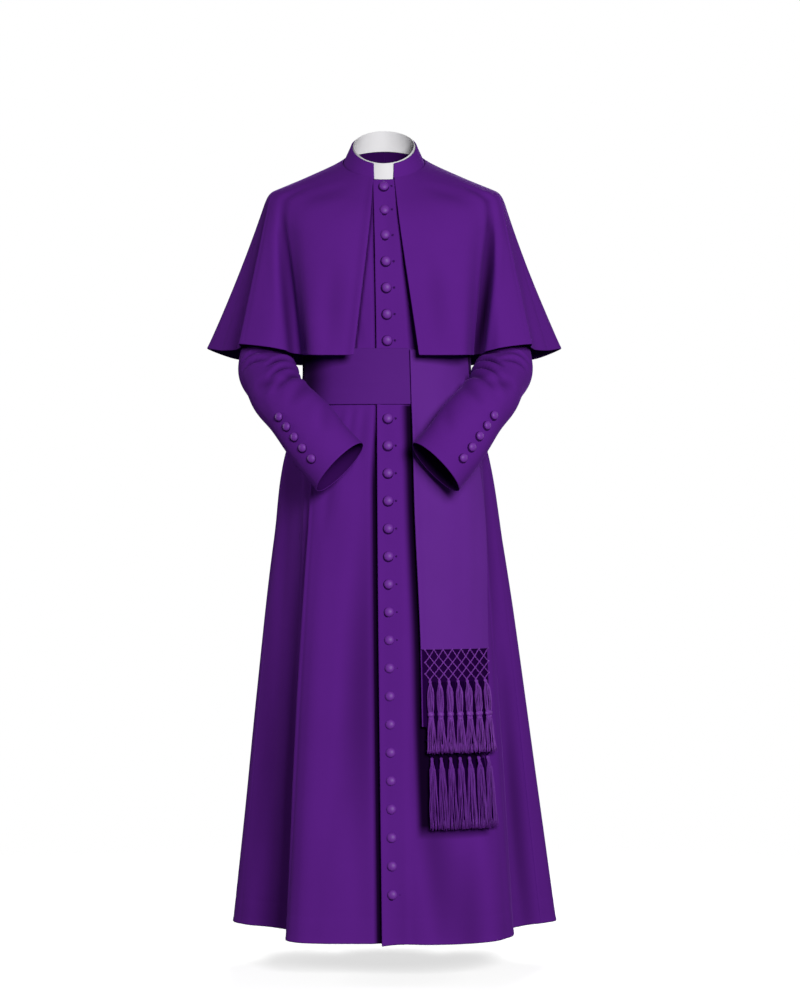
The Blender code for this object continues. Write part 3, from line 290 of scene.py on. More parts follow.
# The dark middle of a tassel, and the dark yarns behind the gap beside it, both painted shade, in
# distances down
CORE_FROM, CORE_SHORT, CORE_TAPERS = 0.002, 0.012, 0.020
GAP_FROM, GAP_SHORT = 0.004, 0.006
GAP_SHADE_RADIUS = 0.0034  # their radius
GAP_BEHIND = 0.0040
YARN_SIDES, YARN_STEPS = 5, 10
CORD_SIDES, CORD_STEPS = 6, 9
KNOT_SIDES, KNOT_RINGS = 10, 7
BINDING_SIDES, BINDING_RINGS = 18, 11
CORE_RINGS, GAP_RINGS = 24, 12
FRONT_FRINGE_SEED, REAR_FRINGE_SEED = 11, 23

# Colours, linear
WOOL = (0.111, 0.0158, 0.251)
SILK = (0.124, 0.0212, 0.272)
# the sash's silk, darker on the band round the waist: painted shade
SHADED_BAND_SILK = (0.101, 0.0152, 0.227)
SHADED_SILK = (0.016, 0.0006, 0.044)  # the rear fall where the front one's fringe shades it
INSIDE_SHADE = (0.036, 0.0042, 0.085)  # the wool's inner side, darker than its outer face: painted shade inside the cuffs, the cape and the hem
YARN = (0.190, 0.033, 0.365)
# the fringe yarn, darker on the rear fringe behind the front one: painted shade
SHADED_REAR_YARN = (0.150, 0.023, 0.308)
# painted shade: the tassels' dark middles, the dark yarns behind their gaps, and the rear net
PAINTED_SHADE_YARN = (0.010, 0.0003, 0.030)
# lighter than the garment's wool: painted light on the buttons' domes
BUTTON_CLOTH = (0.170, 0.028, 0.345)
SHADED_WOOL = (0.030, 0.0038, 0.070)  # painted shadow round each button
# painted shade in the eyelets' holes
EYELET_DARK = (0.048, 0.0062, 0.112)
LINEN = (0.880, 0.870, 0.890)
FLOOR = (0.90, 0.90, 0.90)
WHITE = (1.0, 1.0, 1.0, 1.0)
SHEEN = {  # of the fine fibres that stand up on the cloth
    "Sheen Weight": 0.15,
    "Sheen Roughness": 0.35,
    "Sheen Tint": (0.48, 0.15, 0.93, 1.0),
}

# Materials. twill_deg is the angle of the weave's lines and period their spacing, bump their height
WOVEN_COLUMNS = ("name", "colour", "twill_deg", "period", "roughness", "specular", "bump", "fibres")
WOVEN = (
    ("purple_wool", WOOL, 58.0, 0.0011, 0.78, 0.01, 0.00010, SHEEN),
    ("purple_wool_wrong_side", INSIDE_SHADE, 58.0, 0.0011, 0.85, 0.01, 0.00010, {}),
    ("purple_sash", SILK, 0.0, 0.0009, 0.66, 0.03, 0.00010, SHEEN),
    ("purple_sash_band", SHADED_BAND_SILK, 0.0, 0.0009, 0.66, 0.03, 0.00010, SHEEN),
    ("button_wool", BUTTON_CLOTH, 45.0, 0.0008, 0.50, 0.32, 0.00004, {}),
    ("shaded_wool", SHADED_WOOL, 0.0, 0.0009, 0.90, 0.00, 0.00005, {}),
    ("eyelet_dark", EYELET_DARK, 0.0, 0.0009, 0.90, 0.00, 0.00005, {}),
)
PLIED_COLUMNS = ("name", "colour", "period", "roughness", "specular")
PLIED = (
    ("buttonhole_thread", WOOL, 0.0006, 0.70, 0.10),
    ("fringe_yarn", YARN, 0.0010, 0.42, 0.26),
    ("fringe_yarn_rear", SHADED_REAR_YARN, 0.0010, 0.42, 0.20),
    ("fringe_core", PAINTED_SHADE_YARN, 0.0010, 0.85, 0.00),
)

DYE = (0.84, 1.16)  # the darkest and lightest that the dye is, as a share of the colour
PLY = (0.62, 1.30)  # the same between a yarn's plies and on them
CLOUDS = {"scale": 7.0, "detail": 4.0, "rough": 0.55}  # how the dye varies over the garment
FIBRE = {"detail": 3.0, "rough": 0.65}
REAR_FIBRE_SCALE = 1300.0
LINEN_PERIOD = 0.0006
WAVE_SCALE = math.pi / 10  # the wave texture's scale at which its lines are a metre apart

# Rows and columns of points, close together near an edge: metres from it
EDGE_METRES = (0.0, 0.0008, 0.0022, 0.0045, 0.008, 0.013, 0.018)
HEM_STITCH_METRES = (-0.014, -0.006, -0.002, 0.0, 0.002, 0.006, 0.014)  # from the turning's top
SKIRT_ROWS_FROM, SKIRT_ROW = 0.072, 0.0125  # above the hem, and the step
HIP_Z, HIP_ROW = -0.60, 0.0050  # above it the rows are this close
YOKE_ROWS = 38
BUTTON_STAND_METRES = (0.0065, 0.0145, 0.0205, 0.0240, 0.0275, 0.0310, 0.0350)  # from the centre
UNDERLAP_METRES = [0.0030 + 0.0035 * i for i in range(18)]
PANEL_COLUMNS, BAND_COLUMNS, INSERT_COLUMNS = 92, 260, 128
ROWS_WIDEN = 3.0  # each of the closer rows at an edge is this many times as far from it as the last

# Either side of a place on a surface, to find which way it runs there
STEP, SMALL_STEP, ARM_STEP = 0.010, 0.002, 0.001

# Fine sizes that the solids leave out
RIM_ROUNDING = 0.55  # a folded edge is rounded out by this share of the cloth's thickness
THIN_EDGE = 0.6  # share of the edge's fullness that the collar and the sash have
CREASES_END = 0.25  # share of the way up the yoke at which the body's creases have faded out
CAPE_CREASES_START = 0.1  # share of the way down the cape at which its creases are full
TURNED_HEM = 0.046  # height of the blind-stitched turning inside the skirt's hem
HEM_TURNING = 0.00012  # how much fuller the cloth is over the turning
HEM_TURNING_FADES = 0.008
HEM_STITCHES, HEM_STITCHES_WIDTH = 0.00018, 0.0030  # the groove along the turning's top
SEAM_DIP = 0.0005  # how far a pressed seam sinks at its stitching
SEAM_REACH = 0.0035
EDGE_ROLL = 0.0006  # a turned edge is this much fuller than the cloth beside it
EDGE_ROLL_WIDTH = 0.0040
EYELET_AT = 0.0138  # from the button's centre to the eyelet that ends its buttonhole
EYELET_RADIUS = 0.0021
EYELET_ENDS = 0.2  # share of its radius that its dark middle has at both ends
EYELET_SIDES, EYELET_RINGS = 10, 7
EYELET_SUNK = 0.0002
BUTTONHOLE_THREAD = 0.0004  # radius
THREAD_RISE = 0.0003
THREAD_SIDES, THREAD_STEPS = 6, 17
TROUGH_DEPTH = 0.0095  # the right front sinks along the left front's free edge
TROUGH_FROM_EDGE = 0.0048
CHEST_TROUGH = 0.30  # share of its width that it has above the sash
TROUGH_GROWS = 0.160  # height below the sash over which it widens
TROUGH_NEAR, TROUGH_FAR = 0.0080, 0.0072  # its half width towards the edge, and away from it
EDGE_LIFT, EDGE_LIFT_WIDTH = 0.0016, 0.007  # the left front's free edge stands up a little
CORNER_DROP = 0.0042  # and its bottom corner hangs this much lower than the hem
CORNER_WIDTH = 0.055
CORNER_HEIGHT = 0.120
FALL_WAVE = 0.0011  # the falls' slow wave: its height, and how it runs across and down
FALL_WAVE_ACROSS, FALL_WAVE_DOWN, FALL_WAVE_START = 2.1, 3.0, 0.4
FALL_WAVE_GROWS = 0.25  # metres below the falls' top over which it grows
FALL_EDGE_LIFT = 0.0050  # the falls' inner edges stand off the skirt
FALL_EDGE_LIFT_GROWS = 0.05  # metres below the band
FALL_EDGE_WIDTH = 0.070  # as a share of the fall's width

# Painted shade, which the material reads from the cloth: 0 is lit and 1 is darkest
DARKEST_DEPTH = 0.0080  # of a trough
DARKEST_POWER = 1.5  # over 1, shallow troughs stay light
DARKEST_SHARE = 0.06  # of the cloth's colour, in the darkest places
REAR_SHADE_EDGES = (  # of the rear fall behind the fringe: axis, metres where it starts and is full
    ("X", 0.0000, 0.0025),
    ("Y", 0.1600, 0.1400),
)
FALL_SHADE_FULL = 0.0060  # of the dark strip on the skirt along the falls' inner edge
FALL_SHADE_FADES = 0.0160
ARM_SHADE = 0.85  # on the sash between the arms and the waist, at the most
ARM_SHADE_FROM, ARM_SHADE_FULL, ARM_SHADE_BACK = 0.230, 0.370, 0.560  # places round the waist
CAPE_SHADE, CAPE_SHADE_WIDTH = 0.8, 0.0030  # and along the cape's right front edge

# Buttons. The dome is in shares of the radius and the height, from the cloth up
BUTTON_DOME = (
    (0.62, 0.00), (0.82, 0.06), (0.94, 0.16), (0.99, 0.28), (0.98, 0.42), (0.94, 0.55),
    (0.86, 0.68), (0.74, 0.79), (0.58, 0.88), (0.40, 0.945), (0.20, 0.985), (0.06, 1.0), (0.0, 1.0),
)
BUTTON_FULLNESS = 1.30  # a dome's height against its solid's
BUTTON_RISE, CUFF_BUTTON_RISE = 0.0002, 0.0003  # off the cloth
BUTTON_SIDES = 32
BUTTON_GATHERS, GATHER_DEPTH, GATHERS_TO = 11, 0.018, 0.5  # under the rim, up to this height
BUTTON_SHADOW = ((1.13, 0.0004), (1.10, 0.0007), (0.98, 0.0008), (0.50, 0.0008))  # a painted shadow under each button: a dark disc just above the cloth, in shares of the radius and metres up
BUTTON_SHADOW_ASIDE = 0.0007  # the painted shadow lies this much towards the wearer's right
BUTTON_SHADOW_LOWER = 1.3  # and this many times as much lower

# Across a crease: low shoulders beside it, in its depth and half widths. Along it: how it fades out
CREASE_STEPS = 9
SHOULDER_HEIGHT, SHOULDER_AT, SHOULDER_WIDTH = 0.35, 1.9, 0.8
CREASE_REACH = 4  # half widths
CREASE_FADE = 0.8  # under 1, it fades out late
CREASE_END_WIDTH = 0.65  # share of its half width at both ends

# Creases, a row each: from (a, b) to (a, b) in the surface's own numbers, how far the middle bows
# sideways in a, the half width, and the depth in metres (a trough is below zero, a ridge above)
CREASE_COLUMNS = ("from_a", "from_b", "to_a", "to_b", "bow", "width", "depth")
FRONT_CREASES = (  # a is around, b is the height z
    (-0.100, -0.452, -0.108, -0.560, -0.004, 0.0080, -0.0022),
    (-0.150, -0.452, -0.168, -0.600, 0.006, 0.0090, -0.0024),
    (-0.205, -0.455, -0.225, -0.700, 0.008, 0.0120, -0.0028),
    (-0.285, -0.440, -0.285, -1.550, 0.000, 0.0045, 0.0030),
    (-0.306, -0.470, -0.312, -1.600, 0.000, 0.0120, -0.0040),
    (-0.110, -0.700, -0.125, -1.330, 0.010, 0.0320, -0.0022),
    (-0.072, -0.500, -0.054, -1.500, 0.000, 0.0260, -0.0030),
    (-0.220, -0.760, -0.232, -1.400, 0.006, 0.0280, 0.0024),
    (-0.395, -0.900, -0.405, -1.410, 0.000, 0.0220, 0.0030),
    (-0.430, -0.520, -0.440, -0.860, 0.008, 0.0260, -0.0020),
    (-0.470, -0.800, -0.475, -1.380, 0.006, 0.0260, -0.0030),
    (0.055, -0.455, 0.060, -0.560, 0.003, 0.0080, -0.0018),
    (0.085, -0.900, 0.102, -1.470, -0.006, 0.0300, -0.0042),
    (0.160, -1.150, 0.175, -1.560, 0.004, 0.0420, -0.0040),
    (0.275, -0.700, 0.285, -1.300, 0.000, 0.0200, -0.0022),
    (0.385, -0.440, 0.385, -1.550, 0.000, 0.0045, 0.0030),
    (0.404, -0.470, 0.409, -1.600, 0.000, 0.0130, -0.0030),
    (0.455, -0.520, 0.465, -0.900, -0.006, 0.0240, -0.0024),
    (0.484, -0.900, 0.490, -1.560, -0.006, 0.0280, -0.0046),
    (-0.120, -0.345, -0.170, -0.255, 0.004, 0.0080, -0.0018),
    (-0.210, -0.345, -0.235, -0.225, 0.006, 0.0110, -0.0028),
    (0.190, -0.345, 0.225, -0.220, -0.004, 0.0110, -0.0028),
    (-0.330, -0.340, -0.340, -0.200, 0.010, 0.0120, -0.0034),
    (0.330, -0.340, 0.345, -0.205, -0.008, 0.0120, -0.0034),
)
BACK_CREASES = (
    (0.560, -0.462, 0.565, -0.700, 0.006, 0.0110, -0.0036),
    (0.660, -0.460, 0.668, -0.760, -0.004, 0.0130, -0.0040),
    (0.745, -0.462, 0.752, -0.690, 0.006, 0.0110, 0.0032),
    (0.820, -0.460, 0.830, -0.730, 0.000, 0.0120, -0.0036),
    (0.905, -0.458, 0.900, -0.800, 0.004, 0.0120, -0.0034),
    (0.960, -0.460, 0.965, -0.620, 0.000, 0.0090, -0.0026),
    (0.590, -0.820, 0.600, -1.390, 0.010, 0.0240, 0.0040),
    (0.700, -0.780, 0.705, -1.400, -0.006, 0.0240, -0.0042),
    (0.870, -0.850, 0.875, -1.410, 0.006, 0.0220, 0.0034),
    (0.955, -0.760, 0.965, -1.400, 0.000, 0.0260, -0.0036),
    (-0.565, -0.462, -0.560, -0.660, 0.004, 0.0110, -0.0034),
    (-0.645, -0.460, -0.655, -0.780, 0.006, 0.0130, -0.0040),
    (-0.735, -0.462, -0.740, -0.700, -0.004, 0.0120, 0.0034),
    (-0.810, -0.460, -0.818, -0.740, 0.004, 0.0110, -0.0032),
    (-0.900, -0.458, -0.905, -0.760, 0.000, 0.0130, -0.0038),
    (-0.600, -0.760, -0.598, -1.400, 0.008, 0.0240, 0.0042),
    (-0.700, -0.860, -0.690, -1.390, 0.006, 0.0240, -0.0040),
    (-0.860, -0.800, -0.868, -1.410, -0.006, 0.0220, 0.0036),
    (-0.950, -0.900, -0.945, -1.400, 0.000, 0.0240, -0.0034),
    (0.780, -0.345, 0.720, -0.230, 0.006, 0.0110, -0.0028),
    (-0.770, -0.345, -0.715, -0.215, -0.006, 0.0120, -0.0030),
    (0.900, -0.345, 0.885, -0.245, 0.000, 0.0090, -0.0022),
    (-0.890, -0.345, -0.880, -0.260, 0.000, 0.0090, -0.0020),
)
SLEEVE_CREASES = (  # a is the turn in degrees, b the share of the way from armhole to mouth
    (206.0, 0.522, 92.0, 0.612, 0.0, 0.0058, -0.0115),
    (200.0, 0.552, 104.0, 0.630, 4.0, 0.0050, 0.0036),
    (202.0, 0.570, 88.0, 0.656, 0.0, 0.0066, -0.0078),
    (196.0, 0.612, 84.0, 0.704, 4.0, 0.0090, -0.0052),
    (28.0, 0.522, 112.0, 0.553, 6.0, 0.0056, -0.0074),
    (32.0, 0.556, 108.0, 0.590, 6.0, 0.0060, -0.0062),
    (188.0, 0.494, 100.0, 0.556, 4.0, 0.0060, -0.0060),
    (56.0, 0.640, 112.0, 0.692, 0.0, 0.0130, -0.0034),
    (168.0, 0.690, 92.0, 0.760, 8.0, 0.0120, -0.0026),
    (140.0, 0.660, 62.0, 0.700, 0.0, 0.0110, 0.0020),
    (78.0, 0.330, 130.0, 0.410, 4.0, 0.0140, -0.0034),
    (60.0, 0.260, 112.0, 0.350, 0.0, 0.0140, 0.0028),
    (164.0, 0.800, 110.0, 0.900, 6.0, 0.0140, -0.0020),
    (204.0, 0.520, 268.0, 0.560, 8.0, 0.0070, -0.0052),
    (208.0, 0.580, 262.0, 0.610, -6.0, 0.0080, -0.0042),
    (214.0, 0.640, 286.0, 0.690, 6.0, 0.0110, -0.0032),
    (240.0, 0.400, 300.0, 0.360, 4.0, 0.0120, -0.0030),
    (276.0, 0.480, 330.0, 0.520, 0.0, 0.0130, 0.0026),
    (232.0, 0.750, 290.0, 0.840, 6.0, 0.0140, -0.0022),
)
SLEEVE_HOLLOWS = (  # the same, for the flat of the outer forearm below the elbow
    (-95.0, 0.600, 60.0, 0.600, 0.0, 0.0400, -0.0046),
    (-95.0, 0.715, 60.0, 0.715, 0.0, 0.0400, -0.0036),
)
CAPE_CREASES = (  # a counts the cape's fold lines, b is the share of the way down
    (-9.60, 0.18, -9.74, 1.50, 0.00, 0.0112, -0.0056),
    (-8.00, 0.20, -8.00, 1.60, 0.00, 0.0034, 0.0024),
    (-7.60, 0.30, -7.55, 1.60, 0.00, 0.0150, -0.0048),
    (-12.93, -0.10, -12.93, 1.30, 0.00, 0.0060, 0.0020),
    (-12.12, 0.55, -12.24, 0.99, 0.06, 0.0220, -0.0022),
    (-11.60, 0.10, -10.60, 0.34, 0.10, 0.0160, -0.0018),
    (9.30, 0.18, 10.30, 1.50, 0.00, 0.0108, -0.0080),
    (8.00, 0.20, 8.00, 1.60, 0.00, 0.0034, 0.0024),
    (7.60, 0.30, 7.55, 1.60, 0.00, 0.0150, -0.0040),
    (12.07, 0.50, 12.18, 0.99, -0.06, 0.0220, -0.0020),
    (11.50, 0.10, 10.50, 0.34, -0.10, 0.0160, -0.0018),
    (-5.20, 0.40, -5.10, 0.98, 0.05, 0.0140, -0.0034),
    (-4.00, 0.42, -4.05, 0.97, -0.06, 0.0160, 0.0030),
    (-2.90, 0.38, -2.80, 0.98, 0.05, 0.0150, -0.0036),
    (-1.60, 0.46, -1.70, 0.97, 0.04, 0.0170, 0.0026),
    (-0.60, 0.40, -0.55, 0.98, -0.04, 0.0150, -0.0030),
    (0.75, 0.44, 0.80, 0.98, 0.05, 0.0160, -0.0032),
    (1.90, 0.42, 1.80, 0.97, -0.05, 0.0160, 0.0028),
    (3.00, 0.38, 2.95, 0.98, 0.06, 0.0150, -0.0036),
    (4.15, 0.44, 4.10, 0.97, 0.04, 0.0160, 0.0028),
    (5.30, 0.40, 5.15, 0.98, -0.05, 0.0140, -0.0034),
    (-3.60, 0.08, -3.10, 0.34, 0.08, 0.0160, -0.0022),
    (3.50, 0.08, 3.05, 0.34, -0.08, 0.0160, -0.0022),
)
SASH_CREASES = (  # a is around, b the height z
    (-0.330, -0.366, -0.090, -0.372, 0.0, 0.0060, -0.0009),
    (-0.240, -0.424, 0.020, -0.418, 0.0, 0.0070, -0.0008),
    (-0.430, -0.400, -0.260, -0.392, 0.0, 0.0070, 0.0009),
    (0.180, -0.380, 0.420, -0.372, 0.0, 0.0060, -0.0009),
    (0.240, -0.428, 0.480, -0.420, 0.0, 0.0070, 0.0009),
    (0.560, -0.370, 0.820, -0.378, 0.0, 0.0060, -0.0010),
    (0.600, -0.424, 0.900, -0.416, 0.0, 0.0070, -0.0009),
    (-0.900, -0.376, -0.620, -0.368, 0.0, 0.0060, -0.0010),
    (-0.850, -0.414, -0.580, -0.424, 0.0, 0.0070, 0.0009),
    (-0.960, -0.398, -0.740, -0.400, 0.0, 0.0080, -0.0008),
)
FALL_CREASES = (  # a is the share of the width, b the height z
    (0.24, -0.400, 0.20, -0.760, 0.03, 0.0130, -0.0012),
    (0.66, -0.380, 0.72, -0.700, -0.03, 0.0150, -0.0011),
    (0.48, -0.520, 0.44, -0.880, 0.02, 0.0160, 0.0012),
    (0.85, -0.560, 0.82, -0.890, 0.02, 0.0120, -0.0010),
)

# Stage, light and camera
CAMERA_AT = (0.030, -6.0, -0.626)
CAMERA_LENS, CAMERA_SENSOR = 115.56, 36.0  # millimetres
FLOOR_Z = -1.493
FLOOR_GLOW = 0.62
FLOOR_FADES = (1.0, 2.6)  # metres from the middle
AMBIENT = 0.030
LIGHT_COLUMNS = ("name", "x", "y", "z", "size", "power")  # metres and watts
LIGHTS = (
    ("key", 1.15, -5.10, 0.55, 1.3, 249.0),
    ("right_side", -3.40, 0.90, 0.20, 2.0, 36.0),
    ("left_side", 3.40, 0.90, 0.20, 2.0, 24.0),
    ("rear", 0.60, 4.80, 1.80, 2.0, 150.0),
)
LIGHT_TARGET = (0.0, 0.0, -0.65)


# ---------------------------------------------------------------- curves through table rows

def column(rows, columns, name):
    """One column of a table, by its name."""
    return np.array([row[columns.index(name)] for row in rows], float)


def through(knots, values, at):
    """The smooth curve through values at knots, read at the places in at."""
    knots, at = np.asarray(knots, float), np.asarray(at, float)
    values = np.asarray(values, float)
    slopes = np.gradient(values, knots, axis=0)
    i = np.clip(np.searchsorted(knots, at) - 1, 0, len(knots) - 2)
    width = knots[i + 1] - knots[i]
    t = np.clip((at - knots[i]) / width, 0, 1)
    if values.ndim > 1:
        t, width = t[..., None], width[..., None]
    near, far = values[i], values[i + 1]
    return (
        (1 + 2 * t) * (1 - t) ** 2 * near
        + t * (1 - t) ** 2 * width * slopes[i]
        + t * t * (3 - 2 * t) * far
        + t * t * (t - 1) * width * slopes[i + 1]
    )


def table(rows, columns, key, name, at):
    """Column name of a table, read smoothly at the given values of column key."""
    knots, values = column(rows, columns, key), column(rows, columns, name)
    order = np.argsort(knots)
    return through(knots[order], values[order], at)


def xyz(x, y, z):
    """Points from their coordinates, each a number or an array."""
    return np.stack(np.broadcast_arrays(x, y, z), axis=-1).astype(float)


def unit(vectors):
    """The same directions, each one metre long."""
    return vectors / np.linalg.norm(vectors, axis=-1, keepdims=True)


def mix(a, b, share):
    """The point a share of the way from a to b."""
    return a + (b - a) * share[..., None]


def levelled(share):
    """Rises smoothly from 0 to 1 with share, and stays level beyond both ends."""
    share = np.clip(share, 0, 1)
    return share * share * (3 - 2 * share)


def bell(distance, width):
    """1 at no distance, and soon 0 beyond the width."""
    return np.exp(-((distance / width) ** 2))


def lengths_along(paths):
    """Metres to each point of a path from its first, for one path or many."""
    steps = np.diff(paths, axis=-2, prepend=paths[..., :1, :])
    return np.linalg.norm(steps, axis=-1).cumsum(axis=-1)


def grid(columns, rows):
    """Both coordinates of every point of a grid."""
    return np.meshgrid(columns, rows, indexing="ij")


# ---------------------------------------------------------------- the body's surface

def section(z, around):
    """The smooth body, with no folds: a rounded outline at height z."""
    angle = np.pi * around
    side, ahead = np.sin(angle), np.cos(angle)
    size = {name: table(SECTIONS, SECTION_COLUMNS, "z", name, z) for name in SECTION_COLUMNS[1:]}
    centre = size["centre_x"]
    width = np.where(side > 0, size["left_x"] - centre, centre - size["right_x"])
    across = np.abs(side) / width
    along = np.abs(ahead) / np.where(ahead > 0, size["front"], size["back"])
    radius = (across**SECTION_POWER + along**SECTION_POWER) ** (-1 / SECTION_POWER)
    return xyz(centre + radius * side, -radius * ahead, z)


def hem_folds(around):
    """How far the hem's folds stand from the smooth section there."""
    knots = column(HEM, HEM_COLUMNS, "around")
    outline = xyz(column(HEM, HEM_COLUMNS, "x"), column(HEM, HEM_COLUMNS, "y"), HEM_Z)
    wrapped = np.concatenate([knots[-4:] - 2, knots, knots[:3] + 2])
    points = np.concatenate([outline[-4:], outline, outline[:3]])
    return through(wrapped, points, around) - section(np.full_like(around, HEM_Z), around)


def skirt_and_waist(around, z):
    """The tube from the chest ring down to the hem; the folds grow from the waist."""
    growth = np.clip((WAIST_FOLD_Z - z) / (WAIST_FOLD_Z - HEM_Z), 0, 1) ** FOLD_GROWTH
    return section(z, around) + growth[..., None] * hem_folds(around)


def tilted_ring(row, angle):
    """A ring round the neck at an angle from the centre front, positive to the wearer's left."""
    size = dict(zip(RING_COLUMNS, row))
    ahead = np.cos(angle)
    y = -np.where(ahead > 0, size["front"], size["back"]) * ahead
    return xyz(size["half_width"] * np.sin(angle), y, size["side_z"] + size["tilt"] * y)


def collar_surface(angle, height):
    """The collar's outer face, height 0 at the neckline and 1 at its top edge."""
    return mix(tilted_ring(NECK_RING, angle), tilted_ring(COLLAR_TOP_RING, angle), height)


def armhole(turn, side):
    """The armhole seam. turn is 0 at the shoulder, pi/2 in front, pi under the arm."""
    turn, side = np.broadcast_arrays(np.asarray(turn, float), np.asarray(side, float))
    bottom_x = np.abs(section(np.full_like(side, CHEST_Z), 0.5 * side)[..., 0])
    up = (1 + np.cos(turn)) / 2
    x = bottom_x + (SHOULDER_TIP[0] - bottom_x) * up - ARMHOLE_SCOOP * np.sin(turn) ** 2
    middle = (SHOULDER_TIP[2] + ARMHOLE_BOTTOM_Z) / 2
    half = (SHOULDER_TIP[2] - ARMHOLE_BOTTOM_Z) / 2
    y = SHOULDER_TIP[1] * up - ARMHOLE_HALF_DEPTH * np.sin(turn)
    return xyz(side * x, y, middle + half * np.cos(turn))


def eased(share):
    """Rises slowly from 0, then quickly to 1: the chest turns over late towards the neck."""
    return 1 - np.cos(share * np.pi / 2)


def from_middle(around, front):
    """Share of a half turn from the centre front, or on the back from the centre back."""
    return np.abs(around) if front else 1 - np.abs(around)


def yoke(around, rise, front):
    """The body above the chest ring: rise is 0 there and 1 at the neckline and shoulder seam.

    A Coons patch on each quarter, between the chest ring, the centre line, the armhole and the
    neckline with the shoulder seam."""
    side = np.where(around < 0, -1.0, 1.0)
    across = from_middle(around, front) * 2
    neck_angle = np.clip(across / NECK_SHARE, 0, 1) * np.pi / 2
    neck = tilted_ring(NECK_RING, side * (neck_angle if front else np.pi - neck_angle))
    tip = xyz(side * SHOULDER_TIP[0], SHOULDER_TIP[1], SHOULDER_TIP[2])
    on_shoulder = np.clip((across - NECK_SHARE) / (1 - NECK_SHARE), 0, 1)
    seam = mix(tilted_ring(NECK_RING, side * np.pi / 2), tip, on_shoulder)
    top = np.where((across < NECK_SHARE)[..., None], neck, seam)
    centre = np.zeros_like(around) if front else np.ones_like(around)
    ring, ring_centre, ring_end = (
        section(np.full_like(around, CHEST_Z), at) for at in (around, centre, side * 0.5)
    )
    top_centre = tilted_ring(NECK_RING, centre * np.pi)
    edge = armhole(np.pi * (1 - rise if front else 1 + rise), side)

    def risen(low, high):
        moved = mix(low, high, rise)
        moved[..., 1] = low[..., 1] + (high[..., 1] - low[..., 1]) * eased(rise)
        return moved

    corners = risen(mix(ring_centre, ring_end, across), mix(top_centre, tip, across))
    return risen(ring, top) + mix(risen(ring_centre, top_centre), edge, across) - corners


def body_surface(around, level, front=True):
    """The body's outer face. level is metres below the chest ring while it is negative, and above
    it the share of the way up to the neckline and shoulder seam."""
    around, level = np.broadcast_arrays(np.asarray(around, float), np.asarray(level, float))
    below = skirt_and_waist(around, CHEST_Z + np.minimum(level, 0))
    above = yoke(around, np.clip(level, 0, 1), front)
    return np.where((level > 0)[..., None], above, below)


def back_surface(around, level):
    return body_surface(around, level, front=False)


# ---------------------------------------------------------------- across the cloth

def normals(surface, u, v):
    """Unit vectors across the surface, on the side that u x v points to."""
    along_u = surface(u + SMALL_STEP, v) - surface(u - SMALL_STEP, v)
    along_v = surface(u, v + SMALL_STEP) - surface(u, v - SMALL_STEP)
    return unit(np.cross(along_u, along_v))


def lifted(surface, u, v, lift):
    """Points of a surface moved out by lift, a number or one for each point."""
    u, v = np.broadcast_arrays(np.asarray(u, float), np.asarray(v, float))
    lift = np.broadcast_to(lift, u.shape)
    return surface(u, v) + normals(surface, u, v) * lift[..., None]


def armhole_across(turn, side):
    """The shared vectors of the armhole seam, between the body's and the sleeve's own."""
    turn = np.mod(turn, 2 * np.pi)
    at = np.full_like(turn, 0.5 * side)
    front = normals(body_surface, at, np.clip(1 - turn / np.pi, 0, 1))
    back = normals(back_surface, at, np.clip(turn / np.pi - 1, 0, 1))
    top = np.minimum(turn, 2 * np.pi - turn) < 1e-6
    body = np.where((turn <= np.pi)[..., None], front, back)
    body = np.where(top[..., None], front + normals(back_surface, at, np.ones_like(turn)), body)
    return unit(unit(body) + normals(lambda u, v: sleeve_surface(u, v, side), turn, 0 * turn) * side)


def body_across(around, level, front=True):
    """Vectors across the body panels, shared at the shoulder seam and the armhole."""
    surface, other = (body_surface, back_surface) if front else (back_surface, body_surface)
    side = np.where(around < 0, -1.0, 1.0)
    own = normals(surface, around, level)
    opposite = normals(other, side * (1 - np.abs(around)), level)
    middle = from_middle(around, front)
    shoulder = (level >= 1) & (middle * 2 > NECK_SHARE)
    own = np.where(shoulder[..., None], unit(own + opposite), own)
    turn = np.pi * (1 - level if front else 1 + level)
    at_armhole = (level >= 0) & (middle >= 0.5)
    for which in (-1.0, 1.0):
        here = at_armhole & (side == which)
        own[here] = armhole_across(turn[here], which)
    return own


def centre_speed(level):
    """Metres of cloth for each unit of around, at the centre front."""
    centre = np.zeros_like(level)
    ahead = body_surface(centre + STEP, level) - body_surface(centre - STEP, level)
    return np.linalg.norm(ahead, axis=-1) / (2 * STEP)


def overlap_lift(around, level):
    """The left front rides over the right front beside the buttons and settles beyond them."""
    return OVERLAP_LIFT * (1 - levelled((around * centre_speed(level) - UNDERLAP) / SETTLES_OVER))


def collar_band(angle, height, inset):
    """The collar's face moved straight in towards the neck, so that its edges stay level."""
    points = collar_surface(angle, height)
    axis = xyz(0 * angle, points[..., 1] * COLLAR_AIM, points[..., 2])
    return points + unit(axis - points) * inset


